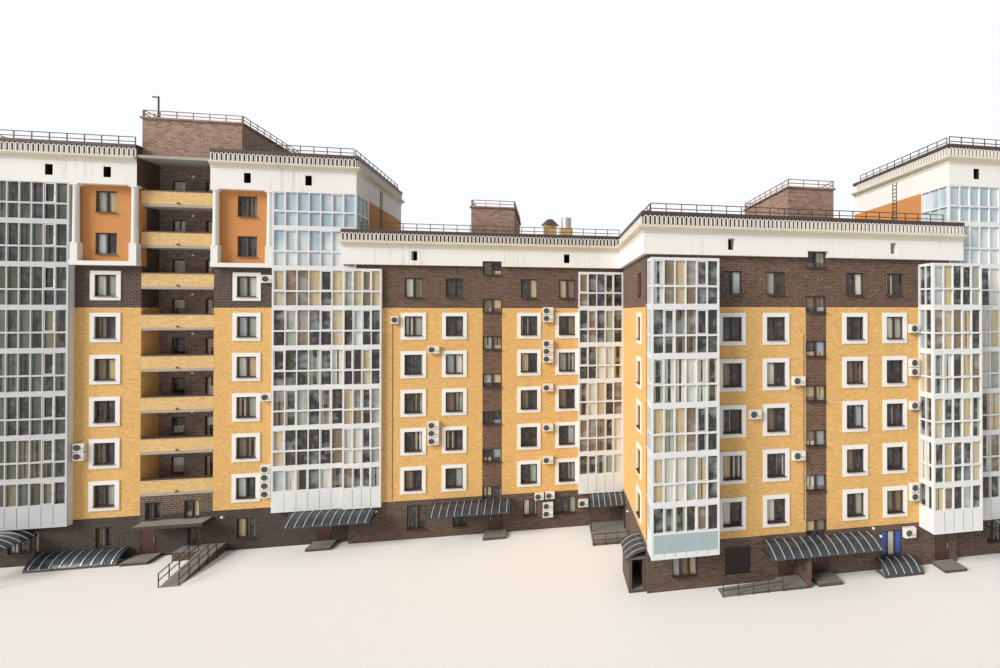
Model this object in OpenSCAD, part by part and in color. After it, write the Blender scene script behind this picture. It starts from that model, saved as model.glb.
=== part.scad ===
// Stepped apartment block, a 1:2 scale model: a nine-storey section on the left, a seven-storey
// middle section, a seven-storey section standing forward of it, and the first bay of the next
// nine-storey section, cut off at a plain party wall. Sizes are those of the model, in millimetres.
// +X runs along the street front, +Y to the back, +Z up. The origin is on the ground, under the
// middle section, half way through its depth.

/* [Storeys] */
// Height from one floor to the next
storey_h = 1500; // [1450:10:1600]
// Number of storeys of the low sections
low_storeys = 7; // [6:1:8]
// Number of storeys of the tall sections
tall_storeys = 9; // [9:1:11]
// Thickness of the outer walls
wall_t = 250; // [200:10:300]
// Thickness of each floor slab
slab_t = 100; // [80:10:130]

/* [Plan] */
// Depth of the tall and middle sections, front wall to back wall
bar_depth = 6240; // [5600:40:7200]
// How far the forward section stands in front of the middle one
forward_step = 5730; // [5000:10:6400]
// How far the tall section's piers stand behind the middle section's front
pier_setback = 250; // [220:5:280]
// Left end of the tall section
left_end_x = -18115; // [-18300:5:-17900]
// Width of each glazed corner bay of the tall section
tall_bay_w = 2880; // [2700:10:3000]
// Width of each brick pier of the tall section
tall_pier_w = 2025; // [1950:5:2100]
// Width of the open loggias between the piers
loggia_w = 2300; // [2200:10:2500]
// Depth of the open loggias
loggia_depth = 900; // [700:10:1100]
// Width of the middle section that shows
middle_w = 10300; // [10000:5:10600]
// Length of the middle section hidden behind the forward one
hidden_w = 6500; // [5500:50:7500]
// Width of the forward section
corner_w = 10905; // [10800:5:11200]
// Width of the next tall section up to its party wall
end_w = 3200; // [3100:10:3600]

/* [Windows] */
// Width of a flat's window
window_w = 650; // [560:10:720]
// Height of a flat's window
window_h = 775; // [700:5:850]
// Height of a window sill above its floor
sill_h = 400; // [340:5:460]
// Width of the white surround on each side of a window
surround_w = 140; // [100:5:170]
// How far the surrounds stand out of the wall
surround_t = 30; // [20:1:45]
// Thickness of the glass
glass_t = 16; // [10:1:24]
// Width of a stair window
stair_window_w = 735; // [600:5:800]
// Height of a stair window
stair_window_h = 545; // [450:5:600]
// Centre of a stair window above the floor line it crosses
stair_window_lift = 100; // [60:5:140]
// Distance of the side wall's windows behind the forward section's front
side_column = 1500; // [1350:5:1650]
// Distance of the inner window columns from the stair axis
inner_column = 1440; // [1380:5:1500]
// Distance of the outer window columns from the stair axis
outer_column = 2960; // [2900:5:3040]
// Distance of the tall section's window columns from its axis
tall_column = 2235; // [2190:5:2280]
// Width of an attic vent
vent_w = 225; // [180:5:260]
// Height of an attic vent
vent_h = 375; // [300:5:420]

/* [Roof edge] */
// Height of the white attic band of the low sections
low_band_h = 665; // [600:5:700]
// Height of the white attic band of the tall sections
tall_band_h = 780; // [700:5:850]
// Rise of the low band above the top floor line
low_band_lift = 165; // [120:5:220]
// Drop of the tall band below the top floor line
tall_band_drop = 125; // [80:5:160]
// How far the low sections' band stands out of the wall
band_out = 150; // [100:5:200]
// How far the middle section's band runs past its end, over the taller neighbour
band_overrun = 475; // [440:5:520]
// How far the forward section's band runs past its end, over the taller neighbour
corner_overrun = 450; // [380:10:520]
// Height of the cornice above the band
cornice_h = 215; // [180:5:260]
// How far the cornice stands out beyond the band
cornice_out = 170; // [120:5:220]
// Height of the ring frieze
ring_h = 330; // [290:5:380]
// Width of one ring
ring_w = 128; // [110:1:136]
// Distance from ring to ring, centre to centre
ring_pitch = 145; // [140:1:170]
// How far the rings stand out of the parapet
ring_out = 40; // [25:1:60]
// Height of the metal cap on the parapet
cap_h = 120; // [80:5:150]
// Height of the roof railing above the cap
rail_h = 325; // [250:5:400]

/* [Bays] */
// How far the forward section's bays stand out of the wall
bay_out = 745; // [600:5:850]
// How far the middle section's bays stand out of the wall
middle_bay_out = 130; // [110:5:150]
// How far the bays reach below the first floor line
bay_drop = 140; // [100:5:200]
// Thickness of the bay frames
bay_frame_t = 60; // [45:1:80]
// Width of a bay's mullions
mullion_w = 36; // [26:1:48]
// Height of the white band at each bay floor
bay_band_h = 180; // [140:5:210]
// Height of the transom above the floor line
bay_transom_z = 600; // [540:5:660]
// Height of the transom itself
bay_transom_h = 60; // [44:2:80]
// Depth of the tall bay's wrap round the end wall
wrap_depth = 1200; // [1000:10:1400]
// Width of the middle section's left bay
middle_left_bay_w = 1360; // [1250:5:1420]
// Width of the middle section's right bay
middle_right_bay_w = 1855; // [1750:5:1900]
// Width of the forward section's left bay
corner_left_bay_w = 2135; // [2000:5:2200]
// Width of the forward section's right bay
corner_right_bay_w = 1900; // [1850:5:1950]
// How far the low bays reach over the taller neighbour's bay
bay_overreach = 420; // [380:5:450]
// How far the forward section's right bay reaches over its neighbour
corner_overreach = 650; // [600:5:700]

/* [Loggias] */
// Height of the balcony fronts
balcony_h = 570; // [500:5:620]
// Thickness of the balcony fronts
balcony_t = 120; // [90:5:150]
// Height of the lowest landing above the first floor line
landing_rise = 675; // [600:5:750]

/* [Columns] */
// Radius of a column shaft
shaft_r = 105; // [90:5:108]
// Width of a column pedestal
pedestal_w = 250; // [230:5:260]
// Height of a column pedestal
pedestal_h = 640; // [560:5:720]
// Height of a column capital
capital_h = 130; // [100:5:160]
// Height of the ledge under the columns
ledge_h = 150; // [110:5:180]

/* [Doors] */
// Width of a doorway
doorway_w = 560; // [500:5:600]
// Height of a doorway above the floor
doorway_h = 1060; // [1000:5:1120]
// Thickness of a door leaf
leaf_t = 44; // [34:1:54]
// Running gap round a door leaf
leaf_gap = 10; // [8:1:14]
// Width of the steel door frames
door_frame_w = 40; // [30:1:50]

/* [Head houses] */
// Width of the low sections' head house
head_w = 1725; // [1500:5:1900]
// Height of the low sections' head house above the parapet cap
head_rise = 1160; // [900:10:1300]
// Depth of the low sections' head houses
head_depth = 4200; // [3800:50:4600]
// How far the tall section's head house reaches past the loggias
tall_head_over = 900; // [700:10:1100]
// Height of the tall section's head house above the parapet cap
tall_head_rise = 1040; // [900:10:1200]

/* [Entrances] */
// Distance that the large canopies reach out of the wall
canopy_reach = 850; // [700:10:950]
// Drop of the canopies from their upper to their lower edge
canopy_drop = 290; // [240:5:340]
// Depth of the entrance steps
step_depth = 700; // [550:10:800]
// Width of the small porch at the forward section's side
porch_w = 560; // [480:10:640]
// Depth of the small porch
porch_d = 1500; // [1300:10:1700]
// Height of the upper edge of the small porch's curved roof
porch_top = 1290; // [1200:10:1330]
// Reach of the small porch's curved roof
porch_reach = 640; // [600:10:700]
// Reach of the lean-tos
lean_to_reach = 620; // [560:10:700]
// Half width of the arched canopy at the left end
arch_reach = 750; // [700:10:800]
// Length of the arched canopy
arch_d = 1750; // [1600:10:1900]
// Length of the ramps
ramp_l = 2000; // [1800:10:2100]
// Width of the ramps
ramp_w = 550; // [500:10:600]
// Rise of the ramp to the barred door
ramp_rise = 300; // [240:10:310]
// Height of the ramps' rails
ramp_rail_h = 450; // [400:10:500]
// Depth of the deck beside the forward section
deck_d = 1990; // [1800:10:2100]

/* [Hidden] */
$fn = 32;
// Small parts that keep one size
strap_t = 4;
strap_l = 50;
frame_depth = 120;
bar_w = 24;
post_pitch = 500;
rail_count = 2;
head_rail_h = 260;
cap_plate = 60;
ladder_w = 260;
arm_w = 40;
air_share = 0.7;
air_gap = 20;
air_d = 150;
air_h = 290;
seat_gap = 0.3;
ladder_in = 2900;
canopy_t = 12;
rib_w = 24;
flat_z = 1180;
flat_h = 120;
flat_reach = 620;
lean_to_z = 400;
lean_to_drop = 340;
porch_wall = 100;
barrel_r = 10;
pin_r = 4;
pin_play = 0.08;
barrel_h = 60;
ramp_out = 680;
landing_d = 600;
porch_in = 120;
bay_roof_t = 50;
ring_bar = 30;
glass_inset = 90;
low_sill_drop = 190;
cap_out = 55;
head_setback = 480;

// Heights
bay_foot = storey_h - bay_drop;
landing_z = storey_h + landing_rise;
low_top = low_storeys * storey_h;
tall_top = tall_storeys * storey_h;
low_band_z = low_top + low_band_lift;
tall_band_z = tall_top - tall_band_drop;
low_cornice_z = low_band_z + low_band_h;
tall_cornice_z = tall_band_z + tall_band_h;
low_frieze_z = low_cornice_z + cornice_h;
tall_frieze_z = tall_cornice_z + cornice_h;
low_cap_z = low_frieze_z + ring_h;
tall_cap_z = tall_frieze_z + ring_h;
floor_z = slab_t;
tall_ledge_z = low_top;

// Planes across the depth
bar_front = -bar_depth / 2;
bar_back = bar_depth / 2;
pier_front = bar_front + pier_setback;
corner_front = bar_front - forward_step;
end_front = corner_front + pier_setback;
loggia_back = pier_front + loggia_depth;
wrap_back = pier_front + wrap_depth;

// Places along the length
tall_w = 2 * (tall_bay_w + tall_pier_w) + loggia_w;
tall_axis = left_end_x + tall_w / 2;
tall_right = left_end_x + tall_w;
loggia_left = tall_axis - loggia_w / 2;
loggia_right = tall_axis + loggia_w / 2;
corner_left = tall_right + middle_w;
hidden_right = corner_left + hidden_w;
corner_right = corner_left + corner_w;
right_end = corner_right + end_w;
middle_bay_left = tall_right - bay_overreach;
middle_wall_left = middle_bay_left + middle_left_bay_w;
middle_wall_right = corner_left - middle_right_bay_w;
middle_axis = (middle_wall_left + middle_wall_right) / 2 + 332.5;
corner_wall_left = corner_left + corner_left_bay_w;
corner_bay_right = corner_right + corner_overreach;
corner_wall_right = corner_bay_right - corner_right_bay_w;
corner_axis = (corner_wall_left + corner_wall_right) / 2 - 130;

brick_yellow = [0.86, 0.68, 0.40];
brick_brown = [0.36, 0.26, 0.22];
brick_base = [0.43, 0.35, 0.30];
plaster_white = [0.88, 0.87, 0.86];
metal_brown = [0.22, 0.15, 0.13];
glass_tint = [0.45, 0.52, 0.55];
concrete = [0.62, 0.60, 0.57];

// Box between two opposite corners
module block(low, high) {
    translate(low) cube(high - low);
}

// Wall along X from its outer face at y, with a hole for each [centre x, sill z, width, height]
module wall_x(x0, x1, y, z0, z1, holes = []) {
    difference() {
        block([x0, y, z0], [x1, y + wall_t, z1]);
        for (h = holes)
            block([h[0] - h[2] / 2, y - 1, h[1]], [h[0] + h[2] / 2, y + wall_t + 1, h[1] + h[3]]);
    }
}

// Wall along Y from its lower face at x, with a hole for each [centre y, sill z, width, height]
module wall_y(x, y0, y1, z0, z1, holes = []) {
    difference() {
        block([x, y0, z0], [x + wall_t, y1, z1]);
        for (h = holes)
            block([x - 1, h[0] - h[2] / 2, h[1]], [x + wall_t + 1, h[0] + h[2] / 2, h[1] + h[3]]);
    }
}

// Windows of the storeys from first to last, at each centre in columns
function flat_windows(columns, first, last) =
    [for (c = columns, n = [first : last]) [c, (n - 1) * storey_h + sill_h, window_w, window_h]];

// Stair windows, one across each floor line
function stair_windows(axis) =
    [for (n = [1 : low_storeys])
        [axis, n * storey_h + stair_window_lift - stair_window_h / 2, stair_window_w, stair_window_h]];

// Attic vents centred in a band
function vents(centres, z) = [for (c = centres) [c, z - vent_h / 2, vent_w, vent_h]];

// Evenly spaced centres of n columns between two ends
function spread(a, b, n) = [for (i = [0 : n - 1]) a + (i + 0.5) * (b - a) / n];

// Window lists
low_vent_z = low_band_z + low_band_h * 0.55;
tall_vent_z = tall_band_z + tall_band_h * 0.55;
tall_windows = flat_windows([tall_axis - tall_column, tall_axis + tall_column], 2, tall_storeys);
outer_step = min(outer_column, middle_wall_right - middle_axis - window_w / 2 - surround_w);
inner_step = inner_column * outer_step / outer_column;
column_steps = [-outer_step, -inner_step, inner_step, outer_step];
middle_windows = flat_windows([for (d = column_steps) middle_axis + d], 2, low_storeys);
corner_windows = flat_windows([for (d = column_steps) corner_axis + d], 2, low_storeys);
middle_stairs = stair_windows(middle_axis);
corner_stairs = stair_windows(corner_axis);
tall_back_windows = flat_windows(spread(left_end_x, tall_right, 6), 1, tall_storeys);
middle_back_windows = flat_windows(spread(tall_right, hidden_right, 9), 1, low_storeys);
corner_back_windows = flat_windows(spread(hidden_right, corner_right, 2), 1, low_storeys);
end_back_windows = flat_windows([corner_right + end_w / 2], 1, tall_storeys);
left_end_windows = flat_windows(spread(wrap_back, bar_back, 2), 1, tall_storeys);
middle_end_windows = flat_windows(spread(bar_front + wall_t, bar_back, 3), 1, low_storeys);
corner_side_windows = flat_windows([corner_front + side_column], 2, low_storeys);
tall_low_windows = [for (c = [-0.326, 0.208]) [tall_axis + c * loggia_w, storey_h - low_sill_drop, 480, 640]];
tall_base_windows = [[left_end_x + tall_bay_w / 2, 420, 900, 740], [tall_axis - tall_column, 420, 520, 740],
                     [tall_axis + 0.24 * loggia_w, 320, 400, 640], [tall_axis + tall_column, 420, 600, 740]];
middle_base_windows = [[middle_axis - 0.95 * outer_step, 340, 740, 960],
                       [middle_axis - 0.85 * inner_step, 340, 520, 640],
                       [middle_axis + 1.03 * inner_step, 560, 540, 700],
                       [middle_axis + 0.978 * outer_step, 560, 900, 700]];
corner_base_windows = [[corner_left + 1225, 400, 820, 620], [corner_axis - 0.937 * outer_step, 320, 880, 880],
                       [corner_axis + 0.948 * outer_step, 440, 830, 840]];
end_base_windows = [[right_end - 1000, 420, 900, 760]];
middle_vents = vents([middle_axis - outer_column + 50, middle_axis + outer_column - 20], low_vent_z);
corner_vents = vents([corner_axis - outer_column - 70, corner_axis + outer_column - 135], low_vent_z);
tall_vents = vents([for (d = [-0.311, -0.169, 0.194, 0.363]) tall_axis + d * tall_w], tall_vent_z);
end_vents = vents([corner_right + end_w * 0.35], tall_vent_z);

// Doorways as [hinge side, centre x, front plane y]: the hinge side is -1 for left and 1 for right
tall_entrance = [-1, tall_axis - 890, pier_front];
tall_shop = [-1, tall_right - 1130, pier_front];
middle_entrance = [1, middle_axis + 145, bar_front];
corner_shop = [-1, corner_axis - 1090, corner_front];
corner_entrance = [1, corner_axis + 130, corner_front];
corner_service = [-1, corner_right - 350, corner_front];
tall_doors = [tall_entrance, tall_shop];
middle_doors = [middle_entrance];
corner_doors = [corner_shop, corner_entrance, corner_service];
doors = concat(tall_doors, middle_doors, corner_doors);

// Holes that reach the piece of a wall between a and b
function reaching(holes, a, b) = [for (h = holes) if (h[0] + h[2] / 2 > a && h[0] - h[2] / 2 < b) h];

// Ground storey wall, split beside each doorway
module base_wall(x0, x1, y, doors, windows) {
    half = doorway_w / 2;
    edges = concat([x0], [for (d = doors) each [d[1] - half, d[1] + half]], [x1]);
    for (i = [0 : 2 : len(edges) - 2])
        wall_x(edges[i], edges[i + 1], y, 0, storey_h, reaching(windows, edges[i], edges[i + 1]));
}

// Lintel over each doorway, threshold under it, and the short walls where one front stands forward of
// the next
module lintels_and_returns() {
    half = doorway_w / 2;
    color(brick_base) {
        for (d = doors) {
            wall_x(d[1] - half, d[1] + half, d[2], floor_z + doorway_h, storey_h,
                   reaching(concat(tall_low_windows, middle_stairs, corner_stairs), d[1] - half, d[1] + half));
            wall_x(d[1] - half, d[1] + half, d[2], 0, floor_z);
        }
        block([tall_right - wall_t, bar_front, 0], [tall_right, pier_front, bay_foot]);
        block([corner_right, corner_front, 0], [corner_right + wall_t, end_front, bay_foot]);
    }
}

// Floor slabs of a section, one a storey
module floor_stack(x0, x1, y0, y1, first, last) {
    color(concrete)
        for (n = [first : last])
            block([x0, y0, n * storey_h], [x1, y1, n * storey_h + slab_t]);
}

// Tall section
module tall_front_piers() {
    color(brick_yellow)
        for (s = [-1, 1]) {
            inner = tall_axis + s * loggia_w / 2;
            outer = inner + s * tall_pier_w;
            wall_x(min(inner, outer), max(inner, outer), pier_front, storey_h, tall_band_z,
                   [for (w = tall_windows) if ((w[0] - tall_axis) * s > 0) w]);
        }
}

module tall_base_wall() {
    color(brick_base)
        base_wall(left_end_x, tall_right, pier_front, tall_doors,
                  concat(tall_base_windows, tall_low_windows));
}

// Doors and windows in the back of the loggias, one of each a landing
loggia_doors = [for (n = [0 : tall_storeys - 2])
    [tall_axis + 587, landing_z + slab_t + n * storey_h, 420, 1080]];
loggia_panes = [for (n = [0 : tall_storeys - 2])
    [tall_axis - 514, landing_z + slab_t + 440 + n * storey_h, 440, 640]];

module tall_loggia_wall() {
    color(brick_brown) {
        wall_x(loggia_left, loggia_right, pier_front, storey_h, landing_z, tall_low_windows);
        wall_x(loggia_left, loggia_right, loggia_back, storey_h, tall_cap_z,
               concat(loggia_doors, loggia_panes));
    }
}

module tall_loggia_cheeks() {
    color(brick_yellow)
        for (x = [loggia_left - wall_t, loggia_right])
            wall_y(x, pier_front + wall_t, loggia_back + wall_t, storey_h, tall_band_z);
}

module tall_balconies() {
    color(brick_yellow)
        for (n = [0 : tall_storeys - 2])
            block([loggia_left, pier_front, landing_z + n * storey_h + slab_t],
                  [loggia_right, pier_front + balcony_t, landing_z + n * storey_h + balcony_h]);
}

module tall_landings() {
    color(concrete) {
        for (n = [0 : tall_storeys - 2])
            block([loggia_left, pier_front, landing_z + n * storey_h],
                  [loggia_right, loggia_back, landing_z + n * storey_h + slab_t]);
        block([loggia_left, bar_front, tall_frieze_z], [loggia_right, loggia_back, tall_frieze_z + slab_t]);
    }
}

module tall_back_wall() {
    color(brick_yellow)
        wall_x(left_end_x, tall_right, bar_back - wall_t, 0, tall_cap_z, tall_back_windows);
}

module tall_end_walls() {
    x = tall_right - wall_t;
    color(brick_yellow) {
        union() {
            wall_y(left_end_x, pier_front + wall_t, bar_back - wall_t, 0, storey_h, left_end_windows);
            wall_y(left_end_x, wrap_back, bar_back - wall_t, storey_h, tall_band_z, left_end_windows);
        }
        union() {
            wall_y(x, pier_front + wall_t, bar_back - wall_t, 0, storey_h);
            wall_y(x, bar_front + bay_frame_t, bar_back - wall_t, storey_h, low_cap_z);
            wall_y(x, wrap_back, bar_back - wall_t, low_cap_z, tall_band_z);
        }
    }
}

module tall_floors() {
    x0 = left_end_x + wall_t;
    x1 = tall_right - wall_t;
    floor_stack(x0, x1, pier_front + wall_t, bar_back - wall_t, 0, 0);
    floor_stack(x0, x1, loggia_back + wall_t, bar_back - wall_t, 1, tall_storeys - 1);
}

// Floors beside the loggias, out into the glazed bays
module tall_bay_floors() {
    color(concrete)
        for (n = [1 : tall_storeys - 1], s = [-1, 1]) {
            cheek = tall_axis + s * (loggia_w / 2 + wall_t);
            wall_in = tall_axis + s * (tall_w / 2 - wall_t);
            glass_in = tall_axis + s * (tall_w / 2 - (s > 0 && n * storey_h < low_cap_z ? wall_t : bay_frame_t));
            bay_in = tall_axis + s * (tall_w / 2 - tall_bay_w + bay_frame_t);
            z = n * storey_h;
            union() {
                block([min(cheek, wall_in), pier_front + wall_t, z],
                      [max(cheek, wall_in), loggia_back + wall_t, z + slab_t]);
                block([min(bay_in, glass_in), bar_front + bay_frame_t, z],
                      [max(bay_in, glass_in), pier_front + wall_t, z + slab_t]);
                if (glass_in != wall_in)
                    block([min(wall_in, glass_in), pier_front + wall_t - 1, z],
                          [max(wall_in, glass_in), wrap_back, z + slab_t]);
            }
        }
}

// White attic walls, their floor and the roof slab
module tall_attic() {
    color(plaster_white)
        for (s = [-1, 1]) {
            inner = tall_axis + s * loggia_w / 2;
            outer = tall_axis + s * tall_w / 2;
            union() {
                wall_x(min(inner, outer), max(inner, outer), bar_front, tall_band_z, tall_cap_z,
                       [for (v = tall_vents) if ((v[0] - tall_axis) * s > 0) v]);
                wall_y(min(outer, outer - s * wall_t), bar_front + wall_t - 1, bar_back - wall_t,
                       tall_band_z, tall_cap_z);
                wall_y(min(inner, inner + s * wall_t), bar_front + wall_t - 1, loggia_back + wall_t,
                       tall_band_z, tall_cap_z);
            }
        }
}

module tall_roof() {
    color(concrete)
        for (z = [tall_band_z, tall_cornice_z - slab_t])
            difference() {
                block([left_end_x + wall_t, bar_front + wall_t, z],
                      [tall_right - wall_t, bar_back - wall_t, z + slab_t]);
                block([loggia_left - wall_t, bar_front, z - 1],
                      [loggia_right + wall_t, loggia_back + wall_t, z + slab_t + 1]);
            }
}

// Lattice of one bay face, drawn flat: width w, from the foot to the top, with n panes across
module bay_lattice(w, foot, top, n, first, last) {
    difference() {
        translate([0, foot]) square([w, top - foot]);
        for (k = [first : last], i = [0 : n - 1]) {
            z = (k - 1) * storey_h;
            step = (w - 2 * bay_frame_t + mullion_w) / n;
            x = bay_frame_t + i * step;
            low = z + bay_transom_z + bay_transom_h;
            translate([x, low])
                square([step - mullion_w, min(z + storey_h - bay_band_h / 2, top - mullion_w) - low]);
            if (k > 2)
                translate([x, z + bay_band_h / 2])
                    square([step - mullion_w, bay_transom_z - bay_band_h / 2]);
        }
    }
}

// Bay face that looks to the front, its outer face at y
module bay_face_x(x0, x1, y, foot, top, n, first, last) {
    translate([x0, y + bay_frame_t, 0]) rotate([90, 0, 0])
        linear_extrude(bay_frame_t) bay_lattice(x1 - x0, foot, top, n, first, last);
}

// Bay face that looks sideways, its lower x at x
module bay_face_y(x, y0, y1, foot, top, n, first, last) {
    translate([x, y0, 0]) rotate([90, 0, 90])
        linear_extrude(bay_frame_t) bay_lattice(y1 - y0, foot, top, n, first, last);
}

// Corner bays as [left end, right end, plane of the wall behind, panes across, -1 where the wrap is on the
// left and 1 on the right, whether a lower roof meets it]; box bays end with how far they stand out
tall_bays = [[left_end_x, left_end_x + tall_bay_w, pier_front, 8, -1, false],
             [tall_right - tall_bay_w, tall_right, pier_front, 7, 1, true],
             [corner_right, right_end - wall_t, end_front, 7, -1, true]];
low_bays = [[middle_bay_left, middle_wall_left, bar_front, 4, middle_bay_out],
            [middle_wall_right, corner_left, bar_front, 5, middle_bay_out],
            [corner_left, corner_wall_left, corner_front, 6, bay_out],
            [corner_wall_right, corner_bay_right, corner_front, 5, bay_out]];
low_bay_top = low_top - bay_roof_t;

module tall_bay_fronts() {
    color(plaster_white)
        for (b = tall_bays)
            bay_face_x(b[0], b[1], b[2] - pier_setback, bay_foot, tall_band_z, b[3], 2, tall_storeys);
}

module low_bay_fronts() {
    color(plaster_white)
        for (b = low_bays)
            bay_face_x(b[0], b[1], b[2] - b[4], bay_foot, low_bay_top, b[3], 2, low_storeys);
}

// Sides of the box bays, wraps of the corner bays round the end walls, and their inner cheeks
module bay_sides() {
    t = bay_frame_t;
    color(plaster_white) {
        for (b = low_bays, x = [b[0], b[1] - t])
            if (b[4] == bay_out) bay_face_y(x, b[2] - b[4] + t, b[2], bay_foot + t, low_bay_top, 2, 2, low_storeys);
            else block([x, b[2] - b[4] + t, bay_foot + t], [x + t, b[2], low_bay_top]);
        for (b = tall_bays) {
            wrap_x = b[4] < 0 ? b[0] : b[1] - t;
            bay_face_y(wrap_x, b[2] - pier_setback + t, b[2] + wrap_depth, b[5] ? low_cap_z : storey_h,
                       tall_band_z, 3, b[5] ? low_storeys + 2 : 2, tall_storeys);
        }
        for (x = [left_end_x + tall_bay_w - t, tall_right - tall_bay_w])
            block([x, bar_front + t, bay_foot + t], [x + t, pier_front, tall_band_z]);
        block([left_end_x, bar_front + t, bay_foot + t], [left_end_x + t, pier_front, storey_h]);
    }
}

// Soffits of all bays and roof plates of the box bays
module bay_plates() {
    t = bay_frame_t;
    color(plaster_white) {
        for (b = low_bays) {
            block([b[0], b[2] - b[4] + t, bay_foot], [b[1], b[2], bay_foot + t]);
            block([b[0], b[2] - b[4], low_bay_top], [b[1], b[2], low_top]);
        }
        for (b = tall_bays)
            block([b[0], b[2] - pier_setback + t, bay_foot], [b[1], b[2], bay_foot + t]);
    }
}

// Glass of a box bay, one sheet a storey on each face
module box_bay_glass(x0, x1, wall_y0, out) {
    y = wall_y0 - out;
    t = bay_frame_t;
    for (n = [1 : low_storeys - 1]) {
        z0 = n * storey_h + slab_t;
        z1 = (n + 1) * storey_h - (n == low_storeys - 1 ? bay_roof_t : 0);
        block([x0 + t, y + t, z0], [x1 - t, y + t + glass_t, z1]);
        if (out == bay_out)
            for (x = [x0 + t, x1 - t - glass_t])
                block([x, y + t + glass_t + 2, z0], [x + glass_t, wall_y0 - 2, z1]);
    }
}

// Floors of a box bay
module box_bay_floors(x0, x1, in0, in1, wall_y0, out) {
    for (n = [1 : low_storeys - 1])
        union() {
            block([x0 + bay_frame_t, wall_y0 - out + bay_frame_t, n * storey_h],
                  [x1 - bay_frame_t, wall_y0, n * storey_h + slab_t]);
            block([in0, wall_y0, n * storey_h], [in1, wall_y0 + wall_t, n * storey_h + slab_t]);
        }
}

// Glass of a corner bay, one sheet a storey on the front and one on the wrap
module corner_bay_glass(x0, x1, s, low_side, y_front, y_wall) {
    t = bay_frame_t;
    for (n = [1 : tall_storeys - 1]) {
        z0 = n * storey_h + slab_t;
        z1 = min((n + 1) * storey_h, tall_band_z);
        wrapped = !low_side || n * storey_h > low_cap_z;
        in = s * (wrapped ? t : wall_t);
        a = s < 0 ? x0 - in : x0 + t;
        b = s < 0 ? x1 - t : x1 - in;
        block([a, y_front + t, z0], [b, y_front + t + glass_t, z1]);
        if (wrapped)
            block([s < 0 ? x0 + t : x1 - t - glass_t, y_front + t + glass_t + 2, z0],
                  [s < 0 ? x0 + t + glass_t : x1 - t, y_wall + wrap_depth, z1]);
    }
}

// One round column: pedestal with plinth and cap, base ring, tapered shaft, flared capital and abacus
module column(x, y) {
    base_z = tall_ledge_z + ledge_h;
    foot_z = base_z + pedestal_h;
    neck_z = tall_band_z - capital_h;
    w = pedestal_w;
    translate([x, y, 0]) {
        translate([-w * 0.46, -w * 0.46, base_z]) cube([w * 0.92, w * 0.92, pedestal_h]);
        for (z = [base_z, foot_z - w * 0.12])
            translate([-w / 2, -w / 2, z]) cube([w, w, w * 0.12]);
        translate([0, 0, foot_z]) cylinder(r = shaft_r * 1.15, h = w * 0.1);
        translate([0, 0, foot_z + w * 0.1]) cylinder(r1 = shaft_r, r2 = shaft_r * 0.88, h = neck_z - foot_z - w * 0.1);
        translate([0, 0, neck_z]) cylinder(r1 = shaft_r * 0.92, r2 = w * 0.46, h = capital_h * 0.55);
        translate([-w / 2, -w / 2, neck_z + capital_h * 0.55]) cube([w, w, capital_h * 0.45]);
    }
}

module tall_columns() {
    color(plaster_white)
        for (s = [-1, 1])
            union() {
                inner = tall_axis + s * loggia_w / 2;
                outer = inner + s * tall_pier_w;
                block([min(inner, outer), bar_front, tall_ledge_z],
                      [max(inner, outer), pier_front, tall_ledge_z + ledge_h]);
                for (x = [inner + s * pedestal_w / 2, outer - s * pedestal_w / 2])
                    column(x, pier_front - pedestal_w / 2);
            }
}

// Middle section
module middle_front_wall() {
    holes = concat(middle_windows, middle_stairs);
    color(brick_yellow)
        union() {
            wall_x(middle_wall_left, middle_wall_right, bar_front, storey_h, low_band_z, holes);
            wall_x(tall_right, corner_left, bar_front, low_top, low_band_z, holes);
        }
}

module middle_base_wall() {
    color(brick_base)
        base_wall(tall_right, corner_left, bar_front, middle_doors,
                  concat(middle_base_windows, middle_stairs));
}

module middle_back_wall() {
    color(brick_yellow)
        wall_x(tall_right, hidden_right, bar_back - wall_t, 0, low_cap_z, middle_back_windows);
}

module middle_end_wall() {
    color(brick_yellow)
        wall_y(hidden_right - wall_t, bar_front + wall_t, bar_back - wall_t, 0, low_cap_z,
               middle_end_windows);
}

module middle_floors() {
    floor_stack(tall_right, hidden_right - wall_t, bar_front + wall_t, bar_back - wall_t, 0, low_storeys);
    color(concrete)
        block([tall_right, bar_front + wall_t, low_cornice_z - slab_t],
              [hidden_right - wall_t, bar_back - wall_t, low_cornice_z]);
}

module middle_attic() {
    holes = concat(middle_vents, middle_stairs);
    color(plaster_white)
        difference() {
            union() {
                block([tall_right - band_overrun, bar_front - band_out, low_band_z],
                      [corner_left - band_out, bar_front, low_cap_z]);
                block([tall_right, bar_front, low_band_z], [corner_left, bar_front + wall_t, low_cap_z]);
            }
            for (h = holes)
                block([h[0] - h[2] / 2, bar_front - band_out - 1, h[1]],
                      [h[0] + h[2] / 2, bar_front + wall_t + 1, h[1] + h[3]]);
        }
}

// Forward section
module corner_front_wall() {
    holes = concat(corner_windows, corner_stairs);
    color(brick_yellow)
        union() {
            wall_x(corner_wall_left, corner_wall_right, corner_front, storey_h, low_band_z, holes);
            wall_x(corner_left, corner_right, corner_front, low_top, low_band_z, holes);
        }
}

module corner_base_wall() {
    color(brick_base)
        base_wall(corner_left, corner_right, corner_front, corner_doors,
                  concat(corner_base_windows, corner_stairs));
}

module corner_side_wall() {
    color(brick_yellow)
        wall_y(corner_left, corner_front + wall_t, bar_front, 0, low_band_z, corner_side_windows);
}

module corner_back_wall() {
    color(brick_yellow)
        wall_x(corner_left, corner_right, bar_front, 0, low_cap_z, corner_back_windows);
}

module corner_floors() {
    y0 = corner_front + wall_t;
    floor_stack(corner_left + wall_t, corner_right, y0, bar_front, 0, low_storeys);
    color(concrete)
        block([corner_left + wall_t, y0, low_cornice_z - slab_t], [corner_right, bar_front, low_cornice_z]);
}

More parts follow.
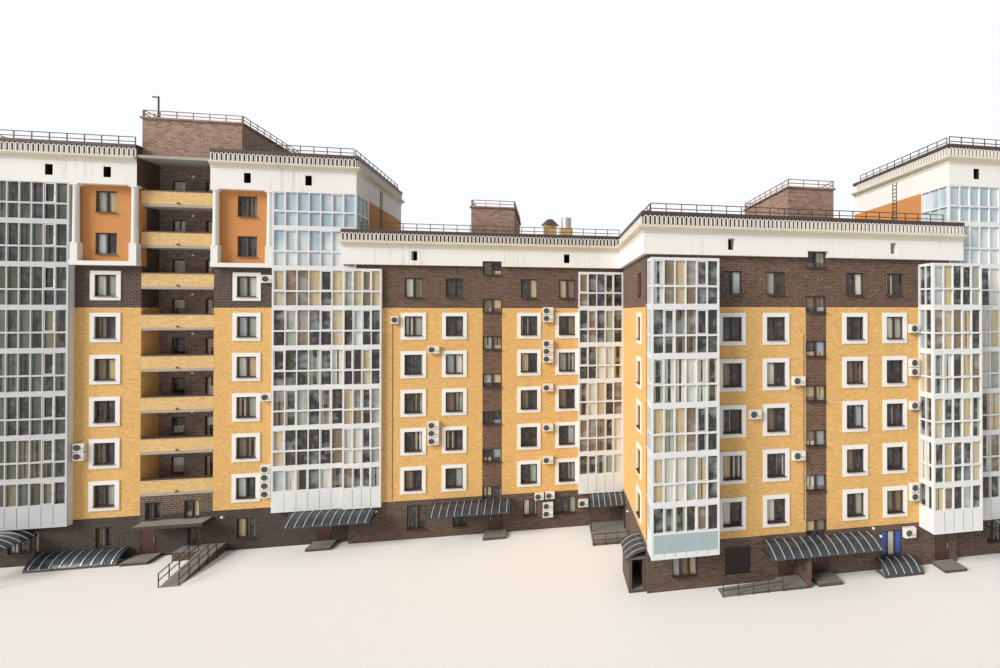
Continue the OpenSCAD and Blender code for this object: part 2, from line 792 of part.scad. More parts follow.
module corner_attic() {
    holes = concat(corner_vents, corner_stairs);
    color(plaster_white)
        difference() {
            union() {
                block([corner_left - band_out, corner_front - band_out, low_band_z],
                      [corner_right + corner_overrun, corner_front, low_cap_z]);
                block([corner_left, corner_front, low_band_z],
                      [corner_right, corner_front + wall_t, low_cap_z]);
                block([corner_left - band_out, corner_front, low_band_z],
                      [corner_left + wall_t, bar_front, low_cap_z]);
            }
            for (h = holes)
                block([h[0] - h[2] / 2, corner_front - band_out - 1, h[1]],
                      [h[0] + h[2] / 2, corner_front + wall_t + 1, h[1] + h[3]]);
        }
}

// Floors of the four box bays
module low_bay_floors() {
    color(concrete) {
        for (b = low_bays)
            box_bay_floors(b[0], b[1], max(b[0], tall_right), b[0] > corner_left ? corner_right : b[1], b[2], b[4]);
    }
}

// Next tall section, cut off at its party wall
module end_base_wall() {
    color(brick_base)
        base_wall(corner_right, right_end, end_front, [], end_base_windows);
}

module end_side_wall() {
    color(brick_yellow)
        union() {
            wall_y(corner_right, end_front + wall_t, bar_front, 0, storey_h);
            wall_y(corner_right, corner_front + bay_frame_t, bar_front, storey_h, low_cap_z);
            wall_y(corner_right, end_front + wrap_depth, bar_front, low_cap_z, tall_band_z);
        }
}

module end_party_wall() {
    color(brick_base)
        union() {
            wall_y(right_end - wall_t, end_front + wall_t, bar_front, 0, tall_cap_z);
            wall_y(right_end - wall_t, corner_front, bar_front, storey_h, tall_cap_z);
        }
}

module end_back_wall() {
    color(brick_yellow)
        wall_x(corner_right, right_end, bar_front, 0, tall_cap_z, end_back_windows);
}

module end_floors() {
    x0 = corner_right + wall_t;
    x1 = right_end - wall_t;
    floor_stack(x0, x1, end_front + wall_t, bar_front, 0, 0);
    floor_stack(x0, x1, corner_front + bay_frame_t, bar_front, 1, tall_storeys - 1);
    color(concrete)
        for (z = [tall_band_z, tall_cornice_z - slab_t])
            block([x0, corner_front + wall_t, z], [x1, bar_front, z + slab_t]);
}

module end_attic() {
    color(plaster_white)
        union() {
            wall_x(corner_right, right_end - wall_t, corner_front, tall_band_z, tall_cap_z, end_vents);
            wall_y(corner_right, corner_front + wall_t - 1, bar_front, tall_band_z, tall_cap_z);
        }
}

// Glass
module bay_glass() {
    color(glass_tint) {
        corner_bay_glass(left_end_x, left_end_x + tall_bay_w, -1, false, bar_front, pier_front);
        corner_bay_glass(tall_right - tall_bay_w, tall_right, 1, true, bar_front, pier_front);
        corner_bay_glass(corner_right, right_end - wall_t, -1, true, corner_front, end_front);
        for (b = low_bays) box_bay_glass(b[0], b[1], b[2], b[4]);
    }
}

// Panes of holes in a wall that looks to the front, s = 1, or to the back, s = -1
module panes_x(y, holes, s = 1) {
    for (h = holes)
        block([h[0] - h[2] / 2, y + (s > 0 ? glass_inset : wall_t - glass_inset - glass_t), h[1]],
              [h[0] + h[2] / 2, y + (s > 0 ? glass_inset + glass_t : wall_t - glass_inset), h[1] + h[3]]);
}

// Panes of holes in a wall that looks to the left, s = 1, or to the right, s = -1
module panes_y(x, holes, s = 1) {
    for (h = holes)
        block([x + (s > 0 ? glass_inset : wall_t - glass_inset - glass_t), h[0] - h[2] / 2, h[1]],
              [x + (s > 0 ? glass_inset + glass_t : wall_t - glass_inset), h[0] + h[2] / 2, h[1] + h[3]]);
}

module window_glass() {
    color(glass_tint) {
        panes_x(pier_front, concat(tall_windows, tall_base_windows, tall_low_windows));
        panes_x(loggia_back, concat(loggia_doors, loggia_panes));
        panes_x(bar_front, concat(middle_windows, middle_stairs, middle_base_windows));
        panes_x(corner_front, concat(corner_windows, corner_stairs, corner_base_windows));
        panes_x(end_front, end_base_windows);
        panes_x(bar_back - wall_t, concat(tall_back_windows, middle_back_windows), -1);
        panes_x(bar_front, concat(corner_back_windows, end_back_windows), -1);
        panes_y(left_end_x, left_end_windows);
        panes_y(corner_left, corner_side_windows);
        panes_y(hidden_right - wall_t, middle_end_windows, -1);
    }
}

// White surround of one window, drawn flat
module surround(h) {
    translate([h[0] - h[2] / 2 - surround_w, h[1] - surround_w])
        difference() {
            square([h[2] + 2 * surround_w, h[3] + 2 * surround_w]);
            translate([surround_w, surround_w]) square([h[2], h[3]]);
        }
}

module window_surrounds() {
    tall_limit = low_storeys * storey_h;
    low_limit = (low_storeys - 1) * storey_h;
    color(plaster_white) {
        for (w = tall_windows)
            if (w[1] < tall_limit)
                translate([0, pier_front, 0]) rotate([90, 0, 0]) linear_extrude(surround_t) surround(w);
        for (w = middle_windows)
            if (w[1] < low_limit)
                translate([0, bar_front, 0]) rotate([90, 0, 0]) linear_extrude(surround_t) surround(w);
        for (w = corner_windows)
            if (w[1] < low_limit)
                translate([0, corner_front, 0]) rotate([90, 0, 0]) linear_extrude(surround_t) surround(w);
        for (w = corner_side_windows)
            if (w[1] < low_limit)
                translate([corner_left - surround_t, 0, 0]) rotate([90, 0, 90])
                    linear_extrude(surround_t) surround(w);
    }
}

// Hinged steel doors. A leaf is drawn in its own frame: the hinge axis at the origin, the leaf
// running along +X behind it
axis_in = leaf_gap / 2;
axis_out = barrel_r + 2;
hinge_zs = [180, 800];

// Place of a door's hinge axis
function hinge_x(d) = d[1] + d[0] * (doorway_w / 2 - door_frame_w - axis_in);

module at_hinge(d) {
    translate([hinge_x(d), d[2] - axis_out, floor_z])
        mirror([d[0] > 0 ? 1 : 0, 0, 0]) children();
}

module door_leaf(d) {
    leaf_w = doorway_w - 2 * door_frame_w - 2 * leaf_gap;
    leaf_h = doorway_h - door_frame_w - 2 * leaf_gap;
    color([0.33, 0.17, 0.12])
        at_hinge(d)
            difference() {
                union() {
                    translate([axis_in, axis_out, leaf_gap]) cube([leaf_w, leaf_t, leaf_h]);
                    for (z = hinge_zs) {
                        translate([0, 0, z + barrel_h + 1]) cylinder(r = barrel_r, h = barrel_h);
                        translate([0, axis_out - strap_t, z + barrel_h + 1])
                            cube([strap_l, strap_t + 1, barrel_h]);
                        translate([0, -strap_t / 2, z + barrel_h + 1])
                            cube([axis_in + strap_t, axis_out + strap_t / 2 - strap_t + 1, barrel_h]);
                    }
                }
                for (z = hinge_zs)
                    translate([0, 0, z + barrel_h]) cylinder(r = pin_r + pin_play, h = barrel_h - 10);
            }
}

// Steel frame round a doorway, with the lower hinge barrels and their pins
module door_frame(d) {
    x0 = d[1] - doorway_w / 2;
    x1 = d[1] + doorway_w / 2;
    top = floor_z + doorway_h;
    color(metal_brown) {
        difference() {
            block([x0, d[2], floor_z], [x1, d[2] + frame_depth, top]);
            block([x0 + door_frame_w, d[2] - 1, floor_z - 1],
                  [x1 - door_frame_w, d[2] + frame_depth + 1, top - door_frame_w]);
        }
        at_hinge(d)
            for (z = hinge_zs)
                union() {
                    translate([0, 0, z]) cylinder(r = barrel_r, h = barrel_h);
                    translate([0, 0, z]) cylinder(r = pin_r, h = 2 * barrel_h - 12);
                    translate([-axis_in - strap_l, axis_out - strap_t, z])
                        cube([axis_in + strap_l, strap_t, barrel_h]);
                }
    }
}

module door_frames() {
    for (d = doors) door_frame(d);
}

// Roof edge
module cap_run(x0, x1, y0, y1, z) {
    block([x0, y0, z], [x1, y1, z + cap_h]);
}

// Profile of the cornice, drawn flat from its back: fillet, cove, ovolo and crown
function arc_points(cx, cy, rx, ry, from, to, n) =
    [for (i = [0 : n]) let (a = from + (to - from) * i / n) [cx + rx * cos(a), cy + ry * sin(a)]];

module cornice_profile() {
    w = cornice_out;
    h = cornice_h;
    polygon(concat([[0, 0], [0.14 * w, 0]], arc_points(0.46 * w, 0.12 * h, 0.32 * w, 0.33 * h, 180, 90, 5),
                   [[0.52 * w, 0.45 * h]], arc_points(0.52 * w, 0.8 * h, 0.4 * w, 0.25 * h, 270, 360, 5),
                   [[w, 0.8 * h], [w, h], [0, h]]));
}

// Run of cornice that looks to the front, its back at y; a mitre is 1 at an outer, -1 at an inner corner
module cornice_run(x0, x1, y, z, m0, m1) {
    w = cornice_out + 1;
    intersection() {
        translate([x1 + w, y, z]) rotate([90, 0, -90])
            linear_extrude(x1 - x0 + 2 * w) cornice_profile();
        translate([0, 0, z - 1]) linear_extrude(cornice_h + 2)
            polygon([[x0 - m0 * w, y - w], [x1 + m1 * w, y - w], [x1 - m1, y + 1], [x0 + m0, y + 1]]);
    }
}

// Turns what looks to the front to look to the left, s = -1, or to the right, s = 1
module turned(x, y, s) {
    translate([x, y, 0]) mirror([s > 0 ? 1 : 0, 0, 0]) rotate([0, 0, -90]) children();
}

module low_cornice() {
    z = low_cornice_z;
    x = corner_left - band_out;
    union() {
        cornice_run(tall_right - band_overrun, x, bar_front - band_out, z, 0, -1);
        cornice_run(x, corner_right + corner_overrun, corner_front - band_out, z, 1, 0);
        turned(x, 0, -1) cornice_run(band_out - bar_front, band_out - corner_front, 0, z, -1, 1);
    }
}

module tall_cornice() {
    z = tall_cornice_z;
    union() {
        cornice_run(left_end_x, loggia_left, bar_front, z, 1, 0);
        turned(left_end_x, 0, -1) cornice_run(-bar_back, -bar_front, 0, z, 0, 1);
    }
    union() {
        cornice_run(loggia_right, tall_right, bar_front, z, 0, 1);
        turned(tall_right, 0, 1) cornice_run(-bar_back, -bar_front, 0, z, 0, 1);
    }
    union() {
        cornice_run(corner_right, right_end, corner_front, z, 1, 0);
        turned(corner_right, 0, -1) cornice_run(-bar_front - wall_t, -corner_front, 0, z, 0, 1);
    }
}

module cornices() {
    color(plaster_white) {
        low_cornice();
        tall_cornice();
    }
}

// One ring of the frieze, drawn flat: a slot shape with a slot-shaped hole
module ring_outline(w, h) {
    translate([0, w / 2]) circle(d = w);
    translate([-w / 2, w / 2]) square([w, h - w]);
    translate([0, h - w / 2]) circle(d = w);
}

module ring() {
    linear_extrude(ring_out)
        difference() {
            ring_outline(ring_w, ring_h);
            translate([0, ring_bar]) ring_outline(ring_w - 2 * ring_bar, ring_h - 2 * ring_bar);
        }
}

// Rings along a face that looks to the front, from x0 to x1
module rings_x(x0, x1, y, z) {
    n = floor((x1 - x0) / ring_pitch);
    for (x = spread(x0, x1, n))
        translate([x, y, z]) rotate([90, 0, 0]) ring();
}

// Rings along a face that looks to the left, s = -1, or to the right, s = 1
module rings_y(x, y0, y1, z, s) {
    n = floor((y1 - y0) / ring_pitch);
    for (y = spread(y0, y1, n))
        translate([x, y, z]) rotate([90, 0, 90 * s]) ring();
}

module ring_frieze() {
    color(plaster_white) {
        rings_x(left_end_x, loggia_left, bar_front, tall_frieze_z);
        rings_x(loggia_right, tall_right, bar_front, tall_frieze_z);
        rings_x(tall_right - band_overrun, corner_left - band_out, bar_front - band_out, low_frieze_z);
        rings_x(corner_left - band_out, corner_right + corner_overrun, corner_front - band_out, low_frieze_z);
        rings_x(corner_right, right_end - wall_t, corner_front, tall_frieze_z);
    }
}

module side_frieze() {
    color(plaster_white) {
        rings_y(corner_left - band_out, corner_front, bar_front - band_out - ring_out, low_frieze_z, -1);
        rings_y(left_end_x, bar_front, bar_back, tall_frieze_z, -1);
        rings_y(tall_right, bar_front, bar_back, tall_frieze_z, 1);
        rings_y(corner_right, corner_front, bar_front, tall_frieze_z, -1);
    }
}

// Metal caps on the parapets
module roof_caps() {
    o = cap_out;
    color(metal_brown) {
        for (s = [-1, 1]) {
            inner = tall_axis + s * (loggia_w / 2);
            outer = tall_axis + s * (tall_w / 2 + o);
            outer_in = tall_axis + s * (tall_w / 2 - wall_t);
            cap_run(min(inner, outer), max(inner, outer), bar_front - o, bar_front + wall_t, tall_cap_z);
            cap_run(min(outer_in, outer), max(outer_in, outer), bar_front + wall_t, bar_back - wall_t,
                    tall_cap_z);
        }
        cap_run(left_end_x - o, tall_right + o, bar_back - wall_t, bar_back + o, tall_cap_z);
        union() {
            cap_run(tall_right - band_overrun, tall_right, bar_front - band_out - o, bar_front, low_cap_z);
            cap_run(tall_right, corner_left - band_out - o, bar_front - band_out - o, bar_front + wall_t,
                    low_cap_z);
        }
        cap_run(tall_right, hidden_right + o, bar_back - wall_t, bar_back + o, low_cap_z);
        cap_run(hidden_right - wall_t, hidden_right + o, bar_front + wall_t + o, bar_back - wall_t, low_cap_z);
        union() {
            cap_run(corner_right, corner_right + corner_overrun, corner_front - band_out - o, corner_front,
                    low_cap_z);
            cap_run(corner_left - band_out - o, corner_right, corner_front - band_out - o,
                    corner_front + wall_t, low_cap_z);
        }
        cap_run(corner_left - band_out - o, corner_left + wall_t, corner_front + wall_t, bar_front, low_cap_z);
        cap_run(corner_left - band_out - o, corner_right, bar_front, bar_front + wall_t + o, low_cap_z);
        cap_run(corner_right - o, right_end, corner_front - o, corner_front + wall_t, tall_cap_z);
        cap_run(corner_right - o, corner_right + wall_t, corner_front + wall_t, bar_front, tall_cap_z);
        cap_run(right_end - wall_t, right_end, corner_front + wall_t, bar_front, tall_cap_z);
        cap_run(corner_right - o, right_end, bar_front, bar_front + wall_t + o, tall_cap_z);
    }
}

// Railing along X or Y, a flat comb of posts and rails that may rise along its length
module railing_x(x0, x1, y, z, h, rise = 0) {
    n = max(2, round((x1 - x0) / post_pitch));
    step = (x1 - x0 - bar_w) / n;
    gap = h / rail_count;
    slope = rise / (x1 - x0);
    translate([x0, y + bar_w, z]) rotate([90, 0, 0])
        linear_extrude(bar_w)
            difference() {
                polygon([[0, 0], [x1 - x0, 0], [x1 - x0, h + rise], [0, h]]);
                for (i = [0 : n - 1], k = [0 : rail_count - 1]) {
                    a = i * step + bar_w;
                    b = (i + 1) * step;
                    low = k == 0 ? [-1, -1] : [k * gap + slope * a, k * gap + slope * b];
                    high = (k + 1) * gap - bar_w;
                    polygon([[a, low[0]], [b, low[1]], [b, high + slope * b], [a, high + slope * a]]);
                }
            }
}

module railing_y(x, y0, y1, z, h, rise = 0) {
    translate([x, 0, 0]) rotate([0, 0, 90]) mirror([0, 1, 0]) railing_x(y0, y1, 0, z, h, rise);
}

module roof_rails() {
    zl = low_cap_z + cap_h;
    zt = tall_cap_z + cap_h;
    in = wall_t / 2;
    color(metal_brown) {
        railing_x(tall_right + in, corner_left - in, bar_front + in, zl, rail_h);
        railing_x(corner_left + in, corner_right - in, corner_front + in, zl, rail_h);
        railing_y(corner_left + in, corner_front + 2 * in, bar_front - in, zl, rail_h);
        railing_x(tall_right + in, hidden_right - in, bar_back - in, zl, rail_h);
        railing_y(hidden_right - in, bar_front + wall_t + 2 * in, bar_back - 2 * in, zl, rail_h);
        railing_x(left_end_x + in, loggia_left - in, bar_front + in, zt, rail_h);
        railing_x(loggia_right + tall_head_over + in, tall_right - in, bar_front + in, zt, rail_h);
        railing_y(left_end_x + in, bar_front + 2 * in, bar_back - 2 * in, zt, rail_h);
        railing_y(tall_right - in, bar_front + 2 * in, bar_back - 2 * in, zt, rail_h);
        railing_x(left_end_x + in, tall_right - in, bar_back - in, zt, rail_h);
        railing_x(corner_right + in, right_end - in, corner_front + in, zt, rail_h);
        railing_y(corner_right + in, corner_front + 2 * in, bar_front, zt, rail_h);
    }
}

// Brick head houses on the roofs, each with a flat metal cap and a low railing
module head_house_top(x0, x1, y0, y1, z1) {
    color(metal_brown) {
        block([x0 - cap_out, y0 - cap_out, z1], [x1 + cap_out, y1 + cap_out, z1 + cap_plate]);
        for (y = [y0, y1 - bar_w])
            railing_x(x0, x1, y, z1 + cap_plate, head_rail_h);
        for (x = [x0 + bar_w, x1])
            railing_y(x, y0 + bar_w + 2, y1 - bar_w - 2, z1 + cap_plate, head_rail_h);
    }
}

module head_houses() {
    z1 = low_cap_z + cap_h + head_rise;
    for (h = [[middle_axis - 60, bar_front], [corner_axis + 210, corner_front]]) {
        x0 = h[0] - head_w / 2;
        y0 = h[1] + wall_t + head_setback;
        color(brick_brown) block([x0, y0, low_cornice_z], [x0 + head_w, y0 + head_depth, z1]);
        head_house_top(x0, x0 + head_w, y0, y0 + head_depth, z1);
    }
    over = loggia_right + tall_head_over;
    back = bar_back - wall_t - 1200;
    zt = tall_cap_z + cap_h + tall_head_rise;
    color(brick_brown)
        union() {
            block([loggia_left, pier_front, tall_frieze_z + slab_t], [loggia_right, loggia_back, zt]);
            block([loggia_left, loggia_back, tall_cap_z], [loggia_right, loggia_back + wall_t, zt]);
            block([loggia_right, pier_front, tall_cap_z], [loggia_right + wall_t, loggia_back + wall_t, zt]);
            block([loggia_right + wall_t, pier_front, tall_cornice_z], [over, loggia_back + wall_t, zt]);
            block([loggia_left, loggia_back + wall_t, tall_cornice_z], [over, back, zt]);
        }
    head_house_top(loggia_left, over, pier_front, back, zt);
}

// Brick vent stacks with their caps
module roof_vents() {
    y = bar_front + 1250;
    vent_x = middle_axis + 1990;
    color(brick_brown) {
        block([vent_x, y, low_cornice_z], [vent_x + 560, y + 560, low_cap_z + cap_h + 640]);
        block([vent_x + 720, y, low_cornice_z], [vent_x + 1240, y + 520, low_cap_z + cap_h + 520]);
    }
    color(metal_brown)
        translate([vent_x + 280, y + 280, low_cap_z + cap_h + 640]) cylinder(r1 = 380, r2 = 130, h = 260);
    color(plaster_white)
        translate([vent_x + 980, y + 260, low_cap_z + cap_h + 520]) cylinder(r = 215, h = 460);
}

// Steel ladders up the tall sections' end walls from the low roofs
module ladder(x, y, z0, z1) {
    union() {
        for (dy = [0, ladder_w - bar_w])
            block([x, y + dy, z0], [x + bar_w, y + dy + bar_w, z1]);
        for (z = [z0 + 150 : 150 : z1 - 60])
            block([x, y, z], [x + bar_w, y + ladder_w, z + bar_w * 0.7]);
    }
}

module roof_steelwork() {
    z = tall_cap_z + cap_h + tall_head_rise + cap_plate;
    color(metal_brown) {
        ladder(tall_right, bar_front + ladder_in, low_cornice_z, tall_cornice_z);
        ladder(corner_right - bar_w, corner_front + ladder_in, low_cornice_z, tall_cornice_z);
        union() {
            translate([loggia_left + 420, bar_front + 380, z]) cylinder(r = 28, h = 820);
            block([loggia_left + 220, bar_front + 360, z + 770],
                  [loggia_left + 440, bar_front + 400, z + 810]);
        }
    }
}

// Strip bent to a part of a circle, from the wall out and down; its axis runs along X
module arc_strip(x0, x1, y_wall, z_top, r_in, t, reach) {
    arc = asin(reach / (r_in + t));
    translate([x1, y_wall - seat_gap, z_top - r_in - t])
        rotate([0, -90, 0]) rotate([0, 0, -arc])
            rotate_extrude(angle = arc, $fn = 96) translate([r_in, 0]) square([t, x1 - x0]);
}

// Canopies as [left end, right end, plane and height of the upper edge, number of ribs, reach, drop]
canopy_z = bay_foot - rib_w - 2 * seat_gap;
porch_plane = bar_front - middle_bay_out / 2;
hanging = [for (c = [[tall_right - 2175, tall_right + 755, bar_front, 10],
                     [middle_axis - 2260, middle_axis + 760, bar_front, 11],
                     [corner_axis - 1960, corner_axis + 2000, corner_front, 13],
                     [right_end - 1500, right_end, corner_front, 5],
                     [corner_left - 1400, corner_left - 20, porch_plane, 6]])
    [c[0], c[1], c[2], canopy_z, c[3], canopy_reach, canopy_drop]];
lean_tos = [for (c = [[tall_axis - 4150, tall_axis - 1450, pier_front, 9],
                      [corner_axis + 2150, corner_axis + 3600, corner_front, 5]])
    [c[0], c[1], c[2], lean_to_z, c[3], lean_to_reach, lean_to_drop]];

// Curved roofs that look sideways as [plane of the upper edge, front end, side, the five values above]
arches = [[corner_left, corner_front + porch_in, -1, [-porch_d, 0, 0, porch_top, 4, porch_reach, canopy_drop]],
          for (s = [-1, 1]) [left_end_x + 1120, pier_front - arch_d - seat_gap, s,
                             [-arch_d, 0, 0, canopy_z, 7, arch_reach, canopy_drop]]];

// Place of each hanging canopy's middle arm, as a share of its width, clear of the doors
arm_share = [0.5, 0.5, 0.37, 0.5, 0.5];

function radius(c) = (c[5] * c[5] + c[6] * c[6]) / (2 * c[6]);

// Height of a canopy sheet's lower face at a distance out of the plane of its upper edge
function under(c, out) = c[3] - seat_gap - radius(c) + sqrt(pow(radius(c) - canopy_t, 2) - pow(out, 2));

// Front plane of the ground storey wall at a place along the length
function base_plane(x) =
    x < tall_right ? pier_front : x < corner_left ? bar_front : x < corner_right ? corner_front : end_front;

module sheet(c) {
    arc_strip(c[0], c[1], c[2], c[3], radius(c) - canopy_t, canopy_t, c[5]);
}

module ribs(c) {
    for (x = spread(c[0], c[1], c[4]))
        arc_strip(x - rib_w / 2, x + rib_w / 2, c[2], c[3] + rib_w + seat_gap, radius(c) + seat_gap, rib_w, c[5]);
}

module canopy_sheets() {
    color([0.30, 0.33, 0.37]) {
        for (c = concat(hanging, lean_tos)) sheet(c);
        for (a = arches) turned(a[0], a[1], a[2]) sheet(a[3]);
    }
}

module canopy_frames() {
    color([0.75, 0.76, 0.76]) {
        for (c = concat(hanging, lean_tos)) ribs(c);
        for (a = arches) turned(a[0], a[1], a[2]) ribs(a[3]);
    }
    color(metal_brown) {
        for (i = [0 : len(hanging) - 1]) {
            c = hanging[i];
            out = c[5] * 0.93;
            y = c[2] - seat_gap - out;
            z = under(c, out) - arm_w;
            union() {
                block([c[0], y, z], [c[1], y + arm_w, z + arm_w]);
                for (x = [c[0], c[0] + (c[1] - c[0]) * arm_share[i], c[1] - arm_w])
                    block([x, y + arm_w - 1, z], [x + arm_w, base_plane(x), z + arm_w]);
                if (c[2] == porch_plane)
                    for (x = [c[0], c[1] - arm_w])
                        block([x, y, floor_z], [x + arm_w, y + arm_w, z + 1]);
            }
        }
        for (i = [1, 2]) {
            out = arch_reach * 0.93;
            z = under(arches[i][3], out) - arm_w;
            turned(arches[i][0], arches[i][1], arches[i][2]) {
                block([-arch_d, -seat_gap - out, z], [0, -seat_gap - out + arm_w, z + arm_w]);
                for (x = [-arch_d + arm_w, -arm_w])
                    block([x, -seat_gap - out, 0], [x + arm_w, -seat_gap - out + arm_w, z]);
            }
        }
        railing_x(ramp_left, ramp_left + ramp_l, corner_front - ramp_out - bar_w, 0, ramp_rail_h, floor_z);
        railing_x(corner_left - 1400, corner_left - 20, bar_front - deck_d - bar_w, 0, ramp_rail_h);
        for (x = [ramp_right - ramp_w - bar_w, ramp_right])
            railing_y(x, pier_front - landing_d - ramp_l, pier_front - landing_d, 0, ramp_rail_h, ramp_rise);
    }
}

// Wedge that rises along X from its foot
module wedge(l, w, rise) {
    translate([0, w, 0]) rotate([90, 0, 0]) linear_extrude(w) polygon([[0, 0], [l, 0], [l, rise]]);
}

// Places of the ramps
step_w = doorway_w * 1.5;
ramp_left = corner_shop[1] - step_w / 2 - ramp_l;
ramp_right = tall_axis + 1600;

// Flat canopy over the loggia entrance, steps, ramps, low walls under the lean-tos and the small porch
module porches() {
    wall = porch_wall;
    porch_h = under(arches[0][3], porch_w);
    color(brick_base) {
        block([tall_axis - loggia_w * 0.436, pier_front - flat_reach, flat_z],
              [tall_axis + loggia_w * 0.5, pier_front, flat_z + flat_h]);
        for (d = doors)
            block([d[1] - step_w / 2, d[2] - step_depth, 0], [d[1] + step_w / 2, d[2], floor_z]);
        for (c = lean_tos) {
            y = c[2] - seat_gap - c[5];
            z = under(c, c[5]);
            difference() {
                block([c[0], y, 0], [c[1], c[2], z]);
                block([c[0] + wall, y + wall, -1], [c[1] - wall, c[2] + 1, z + 1]);
            }
        }
        y = corner_front + porch_in;
        difference() {
            block([corner_left - porch_w, y, 0], [corner_left, y + porch_d, porch_h]);
            block([corner_left - porch_w + wall, y - 1, floor_z],
                  [corner_left - wall, y + porch_d - wall, porch_h - wall * 0.4]);
        }
        x = corner_shop[1] + step_w / 2 + 30;
        block([x, corner_front - step_depth, 0], [x + wall, corner_front, canopy_z - canopy_drop - arm_w]);
        translate([ramp_left, corner_front - ramp_out, 0]) wedge(ramp_l, ramp_w, floor_z);
        block([corner_left - 1400, bar_front - deck_d, 0], [corner_left, bar_front, floor_z]);
        translate([ramp_right, pier_front - landing_d - ramp_l, 0]) rotate([0, 0, 90])
            wedge(ramp_l, ramp_w, ramp_rise);
        block([ramp_right - ramp_w - step_w, pier_front - landing_d, 0], [ramp_right, pier_front, ramp_rise]);
    }
}

// Air conditioners as [left end of their strip, right end, wall plane, lowest unit of each stack as
// [height in storeys, number of units]], in the strips between windows
half_surround = window_w / 2 + surround_w;
air_stacks = [
    [left_end_x + tall_bay_w, tall_axis - tall_column - half_surround, pier_front, [[2.5, 2]]],
    [tall_axis + tall_column + half_surround, tall_right - tall_bay_w, pier_front,
     [[1.36, 4], [3.77, 1], [6.72, 1]]],
    [middle_wall_left + 275, middle_axis - outer_step - half_surround, bar_front, [[5.69, 1]]],
    [middle_axis - outer_step + half_surround, middle_axis - inner_step - half_surround, bar_front,
     [[2.53, 3], [4.91, 1]]],
    [middle_axis + inner_step + half_surround, middle_axis + outer_step - half_surround, bar_front,
     [[0.43, 2], [1.88, 1], [2.76, 1], [3.84, 1], [4.62, 3], [5.72, 2]]],
    [corner_axis - outer_step + half_surround, corner_axis - inner_step - half_surround, corner_front, [[3.67, 1]]],
    [corner_axis - inner_step + half_surround, corner_axis - stair_window_w / 2, corner_front,
     [[2.72, 1], [4.37, 1]]],
    [corner_axis + outer_step + half_surround, corner_wall_right, corner_front,
     [[1.63, 2], [3.73, 1], [4.51, 2], [5.51, 1]]]];

module air_conditioners() {
    color([0.85, 0.83, 0.76])
        for (s = air_stacks, k = s[3], i = [0 : k[1] - 1]) {
            gap = s[1] - s[0];
            w = gap * air_share;
            z = k[0] * storey_h - air_h / 2 + i * (air_h + air_gap);
            block([s[0] + (gap - w) / 2, s[2] - air_d, z], [s[1] - (gap - w) / 2, s[2], z + air_h]);
        }
}

module tall_entrance_door() { door_leaf(tall_entrance); }
module tall_shop_door() { door_leaf(tall_shop); }
module middle_entrance_door() { door_leaf(middle_entrance); }
module corner_shop_door() { door_leaf(corner_shop); }
module corner_entrance_door() { door_leaf(corner_entrance); }
module corner_service_door() { door_leaf(corner_service); }

tall_front_piers();
tall_base_wall();
tall_loggia_wall();
tall_loggia_cheeks();
tall_balconies();
tall_landings();
lintels_and_returns();
tall_back_wall();
tall_end_walls();
tall_floors();
tall_bay_floors();
tall_attic();
tall_roof();
tall_columns();
middle_front_wall();
middle_base_wall();
middle_back_wall();
middle_end_wall();
middle_floors();
middle_attic();
corner_front_wall();
corner_base_wall();
corner_side_wall();
corner_back_wall();
corner_floors();
corner_attic();
low_bay_floors();
end_base_wall();
end_side_wall();
end_party_wall();
end_back_wall();
end_floors();
end_attic();
cornices();
tall_bay_fronts();
low_bay_fronts();
bay_sides();
bay_plates();
bay_glass();
window_glass();
window_surrounds();
ring_frieze();
side_frieze();
roof_caps();
roof_rails();
head_houses();
roof_vents();
roof_steelwork();
canopy_sheets();
canopy_frames();
porches();
air_conditioners();
door_frames();
tall_entrance_door();
tall_shop_door();
middle_entrance_door();
corner_shop_door();
corner_entrance_door();
corner_service_door();
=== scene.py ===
"""Stepped apartment block, a 1:2 scale model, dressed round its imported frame. All lengths are in metres."""

import logging
import math
from dataclasses import dataclass, field
from enum import Enum
from typing import Callable, Iterable, Sequence

import bpy
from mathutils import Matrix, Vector


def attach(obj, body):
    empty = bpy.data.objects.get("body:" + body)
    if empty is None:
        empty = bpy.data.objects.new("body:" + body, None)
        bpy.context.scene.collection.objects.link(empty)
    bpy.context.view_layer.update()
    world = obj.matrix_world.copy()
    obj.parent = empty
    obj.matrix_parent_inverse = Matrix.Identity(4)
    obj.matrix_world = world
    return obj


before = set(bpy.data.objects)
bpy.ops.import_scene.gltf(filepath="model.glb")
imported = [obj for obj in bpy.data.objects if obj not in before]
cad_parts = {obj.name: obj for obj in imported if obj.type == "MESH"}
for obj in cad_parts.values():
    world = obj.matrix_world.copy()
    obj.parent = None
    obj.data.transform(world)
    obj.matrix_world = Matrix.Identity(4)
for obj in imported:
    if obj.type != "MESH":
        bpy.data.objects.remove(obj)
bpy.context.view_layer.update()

LOG = logging.getLogger("apartment_block")
Material = bpy.types.Material
Colour = tuple[float, float, float]
Point = tuple[float, float, float]
BODY = "building"
BEYOND = 99.0  # a height that nothing reaches
UPRIGHT = (math.pi / 2, 0.0, 0.0)  # turns a shape drawn flat so that it stands and looks forward


class Masonry(Enum):
    """What a height band of a wall is made of."""

    BRICK = 0.0
    BLOCK = 1.0
    PLASTER = 2.0


BRICK, BLOCK, PLASTER = Masonry


class Facing(Enum):
    """Which way a face looks, as its turn about the vertical."""

    FRONT = 0.0
    RIGHT = math.pi / 2
    BACK = math.pi
    LEFT = -math.pi / 2


Places = Sequence[tuple[Point, Facing]]


